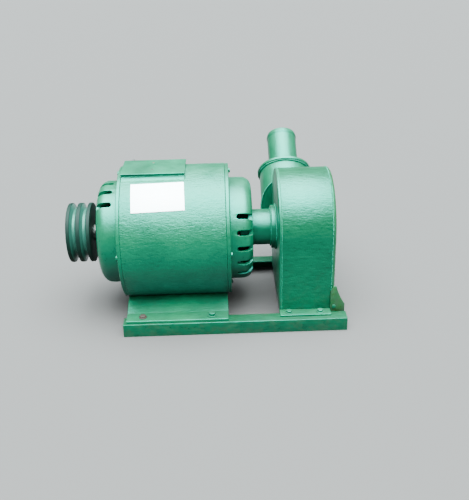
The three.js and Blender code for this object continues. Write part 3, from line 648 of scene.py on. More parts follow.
# END BELLS
# Cast iron bells that close the shell, with a flange, a rounded rim and a hub inside for the bearing.
# Cooling air goes through two groups of five slots in each rim, cut through to the flat face.
BELL_RADIUS = 96.0
BELL_WALL = 6.0
BELL_CORNER = 18.0
BELL_FLANGE_RADIUS = 122.5
BELL_FLANGE = 6.3
BELL_LEFT_FACE = -245.0
BELL_RIGHT_FACE = 36.5
LEFT_FLANGE = SHELL_LEFT - CLEAR - BELL_FLANGE
RIGHT_FLANGE = SHELL_RIGHT + CLEAR + BELL_FLANGE
HUB_RADIUS = 40.0
HUB_DEPTH = 22.0
BEARING_OUTER = 31.0
BEARING_WIDTH = 16.0
SHAFT_RADIUS = 15.0
SHAFT_MOUTH = SHAFT_RADIUS + 1.2
VENT_HALF_WIDTH = 5.0
VENT_PITCH = 18.0
VENT_GROUP = 5
VENT_START = 11.5
VENT_REACH = 82.0

bell_enamel = enamel("bell_enamel", (120, 120, 120), dust=0.18, mud=0.35, depth=0.5)


def vent_cutter(flange, face, out, angles):
    """Slots with a round end towards the flange and an open end past the face"""
    half = VENT_HALF_WIDTH
    start = flange + out * (VENT_START + half)
    end = face + out * BELL_WALL
    bends = [math.radians(90 + 18 * i) for i in range(11)]
    round_end = [(start + out * half * math.cos(b), half * math.sin(b)) for b in bends]
    outline = [(end, half), *round_end, (end, -half)]
    slots = []
    for angle in angles:
        spoke = Vector((0, -math.cos(math.radians(angle)), math.sin(math.radians(angle))))
        across = Vector((1, 0, 0)).cross(spoke)
        slots.append([[at(*(Vector((x, 0, 0)) + spoke * reach + across * t)) for x, t in outline]
                      for reach in (VENT_REACH, VENT_REACH + 2 * BELL_CORNER)])
    return skinned("vents", *slots)


def cut(piece, cutter):
    """Cuts one piece out of another, then throws the cutter away"""
    knife = piece.modifiers.new("cut", "BOOLEAN")
    knife.operation = "DIFFERENCE"
    knife.solver = "EXACT"
    knife.object = cutter
    settle(piece)
    bpy.data.objects.remove(cutter)
    return piece


for name, flange, face, centre in (("left_end_bell", LEFT_FLANGE, BELL_LEFT_FACE, 90),
                                   ("right_end_bell", RIGHT_FLANGE, BELL_RIGHT_FACE, 0)):
    out = 1 if face > flange else -1
    back = flange - out * BELL_FLANGE
    floor = face - out * BELL_WALL
    hub_end = face - out * HUB_DEPTH
    seat = hub_end + out * (BEARING_WIDTH + CLEAR)
    inner = BELL_RADIUS - BELL_WALL
    bore = BEARING_OUTER + CLEAR
    bell = turned(name + "_casting", [
        (SHAFT_MOUTH, face, 0.5), (BELL_RADIUS, face, BELL_CORNER), (BELL_RADIUS, flange, 1.8),
        (BELL_FLANGE_RADIUS, flange, 1.4), (BELL_FLANGE_RADIUS, back, 0.5), (inner, back, 0.5),
        (inner, floor, BELL_CORNER - 2), (HUB_RADIUS, floor, 2.0), (HUB_RADIUS, hub_end, 1.0),
        (bore, hub_end, 0.4), (bore, seat, 0.4), (SHAFT_MOUTH, seat, 0.4)], 180, rounding=8)
    angles = [middle + (i - (VENT_GROUP - 1) / 2) * VENT_PITCH
              for middle in (centre, centre + 180) for i in range(VENT_GROUP)]
    cut(bell, vent_cutter(flange, face, out, angles))
    hand_over(round_edges(bell, 0.7, above=42.0), bell_enamel, name)


# BOLTS OF THE END BELLS
# Four long bolts draw the two bells together over the shell, with small hexagon heads on the flanges.
# All heads on the machine were set first and painted over, so their edges are soft.
FLANGE_BOLT_CIRCLE = 115.5
FACING = {"up": (0, 0, 0), "left": (0, -math.pi / 2, 0), "right": (0, math.pi / 2, 0),
          "front": (math.pi / 2, 0, 0), "back": (-math.pi / 2, 0, 0)}

head_enamel = enamel("head_enamel", (120, 120, 120), dust=0.2, splash=0.09, mud=0.4, depth=0.3,
                     wear=0.0008, roughness=0.32)


def stack(levels, count):
    """Rings through levels of (radius, height), each with so many corners, that stand up from the origin"""
    turns = [math.tau * i / count for i in range(count)]
    return [[MILLIMETRE * Vector((r * math.cos(a), r * math.sin(a), z)) for a in turns] for r, z in levels]


def hexagon_head(across_flats, height, washer=0.0, washer_height=0.0):
    """Bolt head with a chamfered top and, if asked, a washer"""
    radius = across_flats / 2 / math.cos(math.radians(30))
    top = washer_height + height
    bodies = [stack([(radius, washer_height), (radius, top - height * 0.2), (radius * 0.86, top)], 6)]
    if washer:
        bodies.append(stack([(washer, 0.0), (washer, washer_height - 0.02)], 32))
    return round_edges(skinned("bolt_head", *bodies), 0.45, above=25.0)


fastener_tree, entry = new_tree("fasteners", {"Fastener": "NodeSocketObject", "Turn": "NodeSocketRotation",
                                              "Loose Turn": math.tau, "Seed": 1})
tree = fastener_tree
model = put(tree, "GeometryNodeObjectInfo", {"Object": entry["Fastener"]}).outputs["Geometry"]
chance = put(tree, "FunctionNodeRandomValue", {2: 0.0, 3: entry["Loose Turn"], "Seed": entry["Seed"]},
             data_type="FLOAT").outputs[1]
own_turn = put(tree, "ShaderNodeCombineXYZ", {"Z": chance}).outputs["Vector"]
own_rotation = put(tree, "FunctionNodeEulerToRotation", {0: own_turn}).outputs[0]
whole_turn = put(tree, "FunctionNodeRotateRotation", {0: entry["Turn"], 1: own_rotation},
                 rotation_space="LOCAL").outputs[0]
end_with_copies(tree, entry["Material"],
                {"Points": entry["Geometry"], "Instance": model, "Rotation": whole_turn})


def set_fasteners(name, head, points, facing, seed, material=head_enamel, slot="green_enamel"):
    """Sets a head at each point, on the surface there and pointing away from it"""
    data = bpy.data.meshes.new(name)
    data.from_pydata(points, [], [])
    piece = grow(in_scene(name, data), fastener_tree,
                 {"Fastener": head, "Turn": Euler(FACING[facing]), "Seed": seed, "Material": material})
    bpy.data.objects.remove(head)
    hand_over(piece, material, slot=slot)


def on_circle(x, radius, degrees):
    """Points around the shaft, counted from the front over the top"""
    return [about_shaft(radius, x, math.radians(d)) for d in degrees]


for name, x, facing, seed in (("left_bell_bolts", LEFT_FLANGE, "left", 4),
                              ("right_bell_bolts", RIGHT_FLANGE, "right", 9)):
    spots = on_circle(x, FLANGE_BOLT_CIRCLE, (0, 90, 180, 270))
    set_fasteners(name, hexagon_head(8.0, 3.2), spots, facing, seed)


# BEARINGS AND BEARING CAP
# Ground steel rings, pressed into the hubs of the bells and wet with oil.
# The left one is kept in by a turned cap with three screws.
CAP_THICKNESS = 6.0
CAP_RECESS = 1.2
CAP_LIP = 27.0
CAP_SCREW_CIRCLE = 33.0

bearing_steel, tree, shader, place = new_material("bearing_steel")
fine_lines = noise(tree, drawn_out(tree, place, (900.0, 60.0, 60.0)), 1.0, 2.0)
oil = ramp(tree, noise(tree, place, 60.0, 3.0), 0.42, 0.66)
feed(tree, shader, {"Base Color": blended(tree, oil, (0.50, 0.50, 0.49), (0.17, 0.13, 0.085)),
                    "Metallic": 1.0, "Roughness": ramp(tree, fine_lines, 0.3, 0.7, 0.24, 0.42),
                    "Normal": relief(tree, fine_lines, 0.05)})
paint_nodes(bearing_steel, "left_bearing", "right_bearing")

cap_inner = BELL_LEFT_FACE - CLEAR
cap_outer = BELL_LEFT_FACE - CAP_THICKNESS
cap_floor = cap_outer + CAP_RECESS
cap = turned("bearing_cap_disc", [
    (SHAFT_MOUTH, cap_inner, 0.3), (HUB_RADIUS, cap_inner, 0.4), (HUB_RADIUS, cap_outer, 2.0),
    (CAP_LIP, cap_outer, 0.8), (CAP_LIP - 1, cap_floor, 0.8), (SHAFT_MOUTH, cap_floor, 0.4)], 96)
hand_over(cap, bell_enamel, "left_bearing_cap")
set_fasteners("bearing_cap_screws", hexagon_head(7.0, 3.0),
              on_circle(cap_outer, CAP_SCREW_CIRCLE, (90, 210, 330)), "left", 2)


# GENERATOR FEET
# A cast foot along each side of the shell: a flange on the rail and a slope up to a saddle under the shell.
# Two bolts hold each foot to its rail. The left one in front has lost its paint and rusted.
FOOT_LEFT = -199.0
FOOT_RIGHT = -12.5
FOOT_FRONT = 127.5
FOOT_BEND = 100.0
FOOT_THICKNESS = 5.0
FOOT_ANGLES = range(60, 71, 2)
FOOT_BOLT_DEPTH = 114.0
FOOT_BOLT_LEFT = -169.5
FOOT_BOLT_RIGHT = -42.4

# Their enamel is lighter than the rest of the machine: painted light that lifts the shade under the shell, on
# the casing's feet too
foot_enamel_painted_light = enamel("foot_enamel_painted_light", (60, 260, 260), dust=0.06, splash=0.085, depth=0.8,
                     colour=(0.002, 0.070, 0.028))
saddle = SHELL_RADIUS + CLEAR
foot_low = RAIL_TOP + CLEAR
foot_top = foot_low + FOOT_THICKNESS
for side, name in ((-1, "front_foot"), (1, "rear_foot")):
    cradle = [(side * saddle * math.cos(math.radians(a)), -saddle * math.sin(math.radians(a)), 0)
              for a in FOOT_ANGLES]
    heel_y, heel_z = cradle[-1][:2]
    outline = [(side * FOOT_FRONT, foot_low, 0.5), (side * FOOT_FRONT, foot_top, 1.2),
               (side * FOOT_BEND, foot_top, 3.0), *cradle, (heel_y, heel_z - FOOT_THICKNESS, 1.0),
               (side * (FOOT_BEND - 3), foot_low, 3.0)]
    foot = bar_of(name + "_casting", eased(outline), "X", FOOT_LEFT, FOOT_RIGHT)
    hand_over(round_edges(foot, 1.0, above=50.0, segments=3), foot_enamel_painted_light, name)

rusty_steel, tree, shader, place = new_material("rusty_steel")
scale = noise(tree, place, 260.0, 5.0, 0.7)
patches = noise(tree, place, 70.0, 3.0)
rust = blended(tree, ramp(tree, scale, 0.35, 0.65), (0.008, 0.006, 0.004), (0.028, 0.013, 0.006))
feed(tree, shader, {"Base Color": blended(tree, ramp(tree, patches, 0.52, 0.60), rust, (0.002, 0.04, 0.018)),
                    "Roughness": ramp(tree, scale, 0.3, 0.7, 0.6, 0.9), "Normal": relief(tree, scale, 0.35)})

set_fasteners("rusty_foot_bolt", hexagon_head(11.0, 3.0, 7.5, 1.4),
              [at(FOOT_BOLT_LEFT, -FOOT_BOLT_DEPTH, foot_top)], "up", 5, rusty_steel)
set_fasteners("foot_bolts", hexagon_head(12.0, 5.0, 9.0, 1.6),
              [at(FOOT_BOLT_RIGHT, -FOOT_BOLT_DEPTH, foot_top), at(FOOT_BOLT_LEFT, FOOT_BOLT_DEPTH, foot_top),
               at(FOOT_BOLT_RIGHT, FOOT_BOLT_DEPTH, foot_top)], "up", 8)


# TERMINAL BOX
# A shallow pad that straddles the crown of the shell, with a flat sheet lid over it.
# Two dark screws hold the lid and sink into it.
BOX_LEFT = -196.0
BOX_RIGHT = -84.0
BOX_HALF_DEPTH = 36.0
LID_TOP = 127.0
LID_THICKNESS = 2.2
LID_OVERHANG = 1.5
PAD_SKIRT = 45.0
LID_SCREW_X = -142.0
LID_SCREW_DEPTHS = (-15.0, 22.0)
SCREW_SEAT = LID_TOP - 0.6

lid_bottom = LID_TOP - LID_THICKNESS
crown = math.asin(PAD_SKIRT / saddle)
pad_curve = [(saddle * math.sin(crown * k / 8), saddle * math.cos(crown * k / 8)) for k in range(-8, 9)]
pad_top = lid_bottom - CLEAR
pad_corner = pad_curve[-1][1]


def smooth_bend(start, bend, end, shares):
    """Points at some shares of the way from start to end, on a curve drawn towards the bend between them"""
    return [tuple((1 - t) ** 2 * a + 2 * t * (1 - t) * b + t * t * c for a, b, c in zip(start, bend, end))
            for t in shares]


filled = smooth_bend((BOX_HALF_DEPTH, pad_top), (BOX_HALF_DEPTH + 1, pad_corner + 2), (PAD_SKIRT, pad_corner),
                     (0.15, 0.3, 0.45, 0.6, 0.75, 0.9))
pad = bar_of("terminal_box_pad", [(BOX_HALF_DEPTH, pad_top), (-BOX_HALF_DEPTH, pad_top),
                                  *((-y, z) for y, z in filled), *pad_curve, *reversed(filled)],
             "X", BOX_LEFT, BOX_RIGHT)
hand_over(pad, shell_enamel, "terminal_box")


def oblong(u0, v0, u1, v1):
    return [(u0, v0), (u1, v0), (u1, v1), (u0, v1)]


lid_reach = BOX_HALF_DEPTH + LID_OVERHANG
lid = bar_of("terminal_lid_sheet", oblong(-lid_reach, lid_bottom, lid_reach, LID_TOP), "X",
             BOX_LEFT - LID_OVERHANG, BOX_RIGHT + LID_OVERHANG)
# The lid's enamel is lighter than the rest: painted light on the top of the box
lid_enamel_painted_light = enamel("lid_enamel_painted_light", (60, 240, 240), dust=0.15, splash=0.05, mud=0.1, depth=0.7,
                    colour=(0.002, 0.095, 0.045))
hand_over(round_edges(lid, 0.8, segments=3), lid_enamel_painted_light, "terminal_lid")


def block(middle, size):
    """Box drawn about the origin, from its middle and its three sizes"""
    low, high = ([m + side * s / 2 for m, s in zip(middle, size)] for side in (-1, 1))
    return skinned("block", [[MILLIMETRE * Vector((x, y, z)) for x, y in oblong(*low[:2], *high[:2])]
                             for z in (low[2], high[2])])


def slotted_screw(radius, height, slot):
    """Low round screw head with a slot, standing up from the origin"""
    levels = ((radius, 0.0), (radius, height * 0.45), (radius * 0.86, height * 0.85), (radius * 0.55, height))
    return cut(skinned("screw_head", stack(levels, 28)), block((0, 0, height), (radius * 3, slot, height)))


def grained(name, scale, spread, dark, pale, rough, depth=0.0, metallic=0.0):
    """Material with grains that go from dark to pale, and that make it rougher and, if asked, uneven"""
    material, tree, shader, place = new_material(name)
    grains = noise(tree, place, scale, 4.0, 0.6)
    feed(tree, shader, {"Base Color": blended(tree, ramp(tree, grains, *spread), dark, pale),
                        "Metallic": metallic, "Roughness": ramp(tree, grains, 0.3, 0.7, *rough)})
    if depth:
        feed(tree, shader, {"Normal": relief(tree, grains, depth)})
    return material


dark_screw = grained("dark_screw", 300.0, (0.4, 0.65), (0.030, 0.035, 0.030), (0.11, 0.085, 0.055),
                     (0.35, 0.6), metallic=0.6)
set_fasteners("lid_screws", slotted_screw(2.6, 0.9, 0.9),
              [at(LID_SCREW_X, y, SCREW_SEAT) for y in LID_SCREW_DEPTHS], "up", 6, dark_screw, "bright_steel")


# CABLE GROMMET
# A soft rubber sleeve in the back of the terminal box, below its lid.
# It is moulded with four ribs on the outside and gets thinner towards its open end.
GROMMET_X = -182.0
GROMMET_RADIUS = 4.0
GROMMET_BORE = 2.0
GROMMET_LENGTH = 11.0
RIB_COUNT = 4
RIB_PITCH = 2.2
RIB_TAPER = 0.22
RIB_DEPTH = 0.7

rubber = grained("black_rubber", 180.0, (0.4, 0.7), (0.012, 0.012, 0.012), (0.050, 0.050, 0.046),
                 (0.62, 0.85), 0.1)

grommet_start = lid_reach + CLEAR
grommet_end = grommet_start + GROMMET_LENGTH
grommet_height = math.sqrt(saddle ** 2 - BOX_HALF_DEPTH ** 2) + GROMMET_RADIUS + 1
sleeve = [(0.0, grommet_start, 0.0), (GROMMET_RADIUS, grommet_start, 0.4)]
for rib in range(RIB_COUNT):
    start = grommet_start + RIB_PITCH * (rib + 1)
    thick = GROMMET_RADIUS - RIB_TAPER * rib
    thin = thick - RIB_DEPTH
    sleeve += [(thick, start, 0.3), (thin, start + 0.4, 0.2), (thin, start + 1.1, 0.2),
               (thick - 0.1, start + 1.5, 0.3)]
sleeve += [(GROMMET_RADIUS - 1, grommet_end, 0.4), (GROMMET_BORE, grommet_end, 0.4),
           (GROMMET_BORE, grommet_start + 1, 0.2), (0.0, grommet_start + 1, 0.0)]


def about_grommet(radius, along, angle):
    return at(GROMMET_X + radius * math.cos(angle), along, grommet_height + radius * math.sin(angle))


grommet = turned("rubber_sleeve", sleeve, 32, about_grommet, 2)
hand_over(grommet, rubber, "cable_grommet", slot="black_rubber")


# NAMEPLATE
# A blank white-enamelled plate, bent to the shell and glued to it below the terminal box.
# It was put on a little crooked, with its right end up.
PLATE_LEFT = -177.5
PLATE_RIGHT = -83.5
PLATE_LOW_ANGLE = math.radians(39.3)
PLATE_HIGH_ANGLE = math.radians(66.5)
PLATE_THICKNESS = 0.9
PLATE_STEPS = 20
PLATE_TILT = math.radians(1.7)
PLATE_DROP = 1.0

plate_white, tree, shader, place = new_material("plate_white")
smear = noise(tree, place, 45.0, 4.0, 0.6)
wipes = noise(tree, drawn_out(tree, place, (20.0, 160.0, 160.0)), 1.0, 3.0)
white = blended(tree, ramp(tree, smear, 0.45, 0.75, 0.0, 0.35), (0.90, 0.92, 0.91), (0.70, 0.78, 0.73))
wiped = ramp(tree, wipes, 0.55, 0.75, 0.0, 0.3)
feed(tree, shader, {"Base Color": blended(tree, wiped, white, (0.62, 0.74, 0.66)),
                    "Roughness": ramp(tree, wipes, 0.3, 0.7, 0.22, 0.38),
                    "Normal": relief(tree, smear, 0.12)})

plate_outer = saddle + PLATE_THICKNESS
plate_angles = [PLATE_LOW_ANGLE + (PLATE_HIGH_ANGLE - PLATE_LOW_ANGLE) * i / PLATE_STEPS
                for i in range(PLATE_STEPS + 1)]
plate_outline = [(-radius * math.cos(angle), radius * math.sin(angle))
                 for radius, angles in ((plate_outer, plate_angles), (saddle, reversed(plate_angles)))
                 for angle in angles]
plate = round_edges(bar_of("blank_nameplate", plate_outline, "X", PLATE_LEFT, PLATE_RIGHT), 0.25)
plate_middle = (PLATE_LEFT + PLATE_RIGHT) / 2
middle_angle = (PLATE_LOW_ANGLE + PLATE_HIGH_ANGLE) / 2
for vertex in plate.data.vertices:
    x, y, z = (vertex.co - SHAFT_POINT) / MILLIMETRE
    along = x - plate_middle
    around = (math.atan2(z, -y) - middle_angle) * plate_outer
    rise = around * math.cos(PLATE_TILT) + along * math.sin(PLATE_TILT) - PLATE_DROP
    vertex.co = about_shaft(math.hypot(y, z),
                            plate_middle + along * math.cos(PLATE_TILT) - around * math.sin(PLATE_TILT),
                            middle_angle + rise / plate_outer)
hand_over(plate, plate_white, "nameplate", slot="white_enamel")


# TURBINE CASING
# Welded from plate: a flat left side, a wall wrapped over the runner, and a cover with a rounded rim.
# It is open at the bottom, between the rails.
CASING_LEFT = 83.0
CASING_MIDDLE = 127.0
CASING_SHOULDER = 178.0
CASING_RIGHT = 184.5
CASING_RADIUS = 98.2
CASING_COVER_RADIUS = 92.0
CASING_CENTRE = 13.4
CASING_WALL = 4.0
CASING_BOTTOM = RAIL_TOP + CLEAR
SHAFT_HOLE_RADIUS = 22.0
NOZZLE_HOLE = 25.0
NOZZLE_HOLE_START = 40.0
NOZZLE_HOLE_END = 150.0
ARCH_STEPS = 72
SIDE_STEPS = 6
RIM_STEPS = 8
FLAT_MARGIN = 2.0
INLET_X = 113.0
INLET_SLOPE = math.radians(36.0)
JET_DISTANCE = 58.0

# The casing's enamel is darker than the rest of the machine: painted shade over the whole casing
casing_enamel_painted_shade = enamel("casing_enamel_painted_shade", (70, 250, 250), dust=0.08, splash=0.13, depth=1.0,
                       colour=(0.001, 0.040, 0.015), deep=(0.001, 0.028, 0.010))
plate_enamel = enamel("left_plate_enamel", (250, 60, 60), splash=0.15, mud=0.65, depth=0.5,
                      colour=(0.001, 0.055, 0.024), roughness=0.34)
cover_enamel = enamel("cover_enamel", (250, 60, 60), splash=0.20, mud=0.7, depth=0.6,
                      colour=(0.003, 0.052, 0.016), deep=(0.008, 0.034, 0.009))


def arch(radius, bottom):
    """Outline of the casing from the front bottom corner over the top to the rear one, as (y, z) points"""
    front = [(-radius, bottom + (CASING_CENTRE - bottom) * k / SIDE_STEPS) for k in range(SIDE_STEPS)]
    turns = [math.pi * k / ARCH_STEPS for k in range(ARCH_STEPS + 1)]
    over = [(-radius * math.cos(turn), CASING_CENTRE + radius * math.sin(turn)) for turn in turns]
    return front + over + [(-y, z) for y, z in reversed(front)]


def arch_sheet(name, sections, closed_right=False):
    """Bent sheet through arches at (x, radius), given its wall inwards"""
    mesh = bmesh.new()
    rows = [[mesh.verts.new(at(x, y, z)) for y, z in arch(radius, CASING_BOTTOM)] for x, radius in sections]
    for near, far in zip(rows, rows[1:]):
        for i in range(len(near) - 1):
            mesh.faces.new((near[i], far[i], far[i + 1], near[i + 1]))
    if closed_right:
        flat_side = mesh.faces.new(list(reversed(rows[-1])))
        bmesh.ops.inset_region(mesh, faces=[flat_side], thickness=FLAT_MARGIN * MILLIMETRE)
    mesh.normal_update()
    sheet = in_scene(name, as_data(name, mesh))
    body = sheet.modifiers.new("wall", "SOLIDIFY")
    body.thickness = CASING_WALL * MILLIMETRE
    body.offset = -1
    body.use_even_offset = True
    return settle(sheet)


def hole_cutter(radius, low, high, steps, place=about_shaft):
    return turned("hole", [(0, low, 0), (radius, low, 0), (radius, high, 0), (0, high, 0)], steps, place)


plate_right = CASING_LEFT + CASING_WALL
left_plate = bar_of("casing_left_sheet", arch(CASING_RADIUS, CASING_BOTTOM), "X", CASING_LEFT, plate_right)
cut(left_plate, hole_cutter(SHAFT_HOLE_RADIUS, CASING_LEFT - CASING_WALL, plate_right + CASING_WALL, 96))
hand_over(round_edges(left_plate, 0.7), plate_enamel, "casing_left_plate")

# The slope of the inlet, which the hole for the nozzle follows too
SLOPE_AXIS = Vector((0, math.cos(INLET_SLOPE), math.sin(INLET_SLOPE)))
SLOPE_NORMAL = Vector((0, -math.sin(INLET_SLOPE), math.cos(INLET_SLOPE)))
SLOPE_START = Vector((INLET_X, 0, 0)) - SLOPE_NORMAL * JET_DISTANCE


def on_slope(radius, along, angle):
    """Point around the sloping axis of the inlet, counted from where that axis passes nearest to the shaft"""
    spoke = Vector((1, 0, 0)) * math.cos(angle) + SLOPE_NORMAL * math.sin(angle)
    return at(*(SLOPE_START + SLOPE_AXIS * along + spoke * radius))


wrap = arch_sheet("casing_wrap_sheet",
                  [(x, CASING_RADIUS) for x in (plate_right + CLEAR, CASING_MIDDLE, CASING_SHOULDER)])
cut(wrap, hole_cutter(NOZZLE_HOLE, NOZZLE_HOLE_START, NOZZLE_HOLE_END, 64, on_slope))
hand_over(round_edges(wrap, 0.5), casing_enamel_painted_shade, "casing_wrap")

rim_start = CASING_SHOULDER + CLEAR
rim_width = CASING_RIGHT - rim_start
rim_drop = CASING_RADIUS - CASING_COVER_RADIUS
rim_turns = [math.pi / 2 * step / RIM_STEPS for step in range(RIM_STEPS + 1)]
cover = arch_sheet("casing_cover_dish", [
    (rim_start + rim_width * math.sin(turn), CASING_COVER_RADIUS + rim_drop * math.cos(turn))
    for turn in rim_turns], True)
hand_over(round_edges(cover, 0.5), cover_enamel, "casing_cover")


# WELDS AND BOLTS OF THE CASING
# Both sides are welded to the wall along their whole edges.
# Each foot is a flat strip, bolted to its rail.
CASING_FOOT_FRONT = 119.7
CASING_FOOT_TOP = CASING_BOTTOM + 3.0
CASING_FOOT_RIGHT = 176.6
CASING_BOLT_DEPTH = 109.5
CASING_BOLTS = (99.7, 157.3)

wall_face = CASING_RADIUS + CLEAR
for name, x, sunk, width, seed in (("casing_seam", plate_right, 0.9, 2.3, 11),
                                   ("cover_seam", CASING_SHOULDER, 1.1, 3.4, 21)):
    weld(name, [[at(x + 0.2, y, z) for y, z in arch(CASING_RADIUS - sunk, CASING_BOTTOM + 4)]], width, seed)

for side, name in ((-1, "casing_front_foot"), (1, "casing_rear_foot")):
    strip = oblong(side * wall_face, CASING_BOTTOM, side * CASING_FOOT_FRONT, CASING_FOOT_TOP)
    foot = bar_of(name + "_strip", strip, "X", CASING_LEFT, CASING_FOOT_RIGHT)
    hand_over(round_edges(foot, 0.7, segments=3), foot_enamel_painted_light, name)
casing_bolts = [at(x, side * CASING_BOLT_DEPTH, CASING_FOOT_TOP) for x in CASING_BOLTS for side in (-1, 1)]
set_fasteners("casing_foot_bolts", hexagon_head(10.0, 3.6, 7.4, 1.2), casing_bolts, "up", 14)


# CORNER BRACKETS
# A plate with a hollow edge against each lower right corner of the casing, down to the cross member there.
# One small screw goes through it into the casing.
BRACKET_LEFT = CASING_FOOT_RIGHT + CLEAR
BRACKET_RIGHT = 203.5
BRACKET_BOTTOM = RAIL_TOP - ANGLE_WALL
BRACKET_SIDE_TOP = CASING_BOTTOM + 13.0
BRACKET_BEND = (193.8, CASING_BOTTOM + 26.5)
BRACKET_TOP_RIGHT = (187.0, CASING_BOTTOM + 50.0)
BRACKET_CORNER = (182.0, CASING_BOTTOM + 38.0)
BRACKET_THICKNESS = 3.0
BRACKET_SCREW = (183.4, -120.0)

bracket_enamel = enamel("bracket_enamel", (90, 160, 160), dust=0.1, splash=0.15, mud=0.95, depth=0.5,
                        colour=(0.014, 0.042, 0.007), deep=(0.010, 0.028, 0.005))
bracket_sheet = [(BRACKET_LEFT, BRACKET_BOTTOM), (BRACKET_RIGHT, BRACKET_BOTTOM),
                 *smooth_bend((BRACKET_RIGHT, BRACKET_SIDE_TOP), BRACKET_BEND, BRACKET_TOP_RIGHT,
                              [step / 12 for step in range(13)]),
                 (BRACKET_CORNER[0], BRACKET_TOP_RIGHT[1]), (BRACKET_LEFT, BRACKET_CORNER[1])]
for side, name, facing in ((-1, "front_corner_bracket", "front"), (1, "rear_corner_bracket", "back")):
    outer = side * (wall_face + BRACKET_THICKNESS)
    bracket = bar_of(name + "_plate", bracket_sheet, "Y", *sorted((side * wall_face, outer)))
    hand_over(round_edges(bracket, 0.7, above=50.0), bracket_enamel, name)
    spot = at(BRACKET_SCREW[0], outer, BRACKET_SCREW[1])
    set_fasteners(name + "_screw", hexagon_head(6.5, 2.6), [spot], facing, 17)


# SHAFT GUARD
# A length of tube over the turning shaft, from the right bell to the casing.
# A ring is welded onto its right end, and to the casing, and closes the gap there.
GUARD_RADIUS = 34.0
GUARD_WALL = 3.2
GUARD_FLANGE_RADIUS = 41.0
GUARD_FLANGE_LEFT = 73.0

# The tube's enamel is darker than the rest: painted shade for the tube in the gap between the bell and the
# casing
guard_enamel_painted_shade = enamel("guard_enamel_painted_shade", (60, 180, 180), dust=0.06, colour=(0.001, 0.036, 0.015),
                      deep=(0.001, 0.024, 0.010), roughness=0.32)
guard_left = BELL_RIGHT_FACE + CLEAR
guard_right = CASING_LEFT - CLEAR
tube = pipe_section(GUARD_RADIUS - GUARD_WALL, GUARD_RADIUS, guard_left, guard_right, (0.5, 0.8, 0.5, 0.5))
hand_over(turned("guard_tube", tube, 128), guard_enamel_painted_shade, "shaft_guard_tube")
collar = pipe_section(GUARD_RADIUS + CLEAR, GUARD_FLANGE_RADIUS, GUARD_FLANGE_LEFT, guard_right,
                      (0.4, 1.2, 0.4, 0.4))
hand_over(turned("guard_ring", collar, 128), guard_enamel_painted_shade, "guard_tube_flange")


def circle_line(radius, along, place, steps=96):
    """Closed line of points around an axis"""
    points = ring_around(place, radius, along, steps)
    return points + points[:1]


weld("guard_welds", [circle_line(GUARD_RADIUS + 0.9, GUARD_FLANGE_LEFT - 0.7, about_shaft),
                     circle_line(GUARD_FLANGE_RADIUS + 0.6, guard_right - 0.9, about_shaft)], 3.4, 21)


# INLET PIPE
# Four-inch steel pipe, cut at an angle and welded to the back of the casing, with a ring on its upper end.
# The spigot is a two-inch tube welded into that ring, with a bead rolled into it near its end.
INLET_RADIUS = 50.8
INLET_PIPE_WALL = 4.0
INLET_END_PLATE = 5.0
INLET_STEPS = 160
FLANGE_RADIUS = 55.0
FLANGE_START = 159.0
FLANGE_END = FLANGE_START + 6.0
SPIGOT_RADIUS = 30.15
SPIGOT_WALL = 3.6
SPIGOT_START = 150.0
SPIGOT_END = 255.0
SPIGOT_BEAD = 1.4

inlet_enamel = enamel("inlet_enamel", (160, 60, 60), dust=0.2, splash=0.12, mud=0.5, depth=0.6,
                      roughness=0.32)
end_plate_face = wall_face + INLET_END_PLATE
pipe_inside = INLET_RADIUS - INLET_PIPE_WALL


def on_wall(radius, y, angle, raised=0.0, out=0.0):
    """Point where a line along the slope, at that radius and angle, passes through a plane across Y.
    It can be raised from there along the slope, and moved out from its axis."""
    spoke = SLOPE_NORMAL * math.sin(angle)
    along = (y - SLOPE_START.y - radius * spoke.y) / SLOPE_AXIS.y
    return on_slope(radius + out, along + raised, angle)


pipe = skinned("inlet_pipe_cut", [ring_around(place, radius, reach, INLET_STEPS) for place, radius, reach in (
    (on_wall, NOZZLE_HOLE, wall_face), (on_wall, INLET_RADIUS, wall_face),
    (on_slope, INLET_RADIUS, FLANGE_START - CLEAR), (on_slope, pipe_inside, FLANGE_START - CLEAR),
    (on_wall, pipe_inside, end_plate_face), (on_wall, NOZZLE_HOLE, end_plate_face))], looped=True)
hand_over(round_edges(pipe, 0.5, above=40.0), inlet_enamel, "inlet_pipe")

end_ring = pipe_section(SPIGOT_RADIUS + CLEAR, FLANGE_RADIUS, FLANGE_START, FLANGE_END, (0.4, 1.0, 1.4, 0.4))
hand_over(turned("inlet_end_ring", end_ring, 144, on_slope), inlet_enamel, "inlet_flange")

spigot_inside = SPIGOT_RADIUS - SPIGOT_WALL
spigot = turned("hose_spigot_tube", [
    (spigot_inside, SPIGOT_START, 0.6), (SPIGOT_RADIUS, SPIGOT_START, 0.6),
    (SPIGOT_RADIUS, SPIGOT_END - 12, 4.0), (SPIGOT_RADIUS + SPIGOT_BEAD, SPIGOT_END - 7, 2.5),
    (SPIGOT_RADIUS, SPIGOT_END - 1.5, 1.0), (SPIGOT_RADIUS - 0.3, SPIGOT_END, 0.8),
    (spigot_inside, SPIGOT_END, 0.8)], 128, on_slope)
hand_over(spigot, inlet_enamel, "hose_spigot")


def beside_wall(radius, raised, angle):
    """Point of the weld at the casing, beside the edge where the pipe meets the wall"""
    return on_wall(radius, wall_face, angle, raised, 0.4)


weld("inlet_welds", [circle_line(INLET_RADIUS, 0.8, beside_wall, INLET_STEPS),
                     circle_line(SPIGOT_RADIUS + 0.8, FLANGE_END + 0.7, on_slope),
                     circle_line(INLET_RADIUS + 0.7, FLANGE_START - 1.0, on_slope)], 4.2, 25)


# NOZZLE
# A bronze funnel inside the inlet pipe, which narrows to one round mouth behind the buckets.
# It was cast, polished where it narrows, and has turned green and brown.
NOZZLE_TIP = 63.0
NOZZLE_BORE = 7.0
NOZZLE_NECK = 105.0
NOZZLE_NECK_RADIUS = 19.0
NOZZLE_END = 128.0
NOZZLE_WALL = 3.5

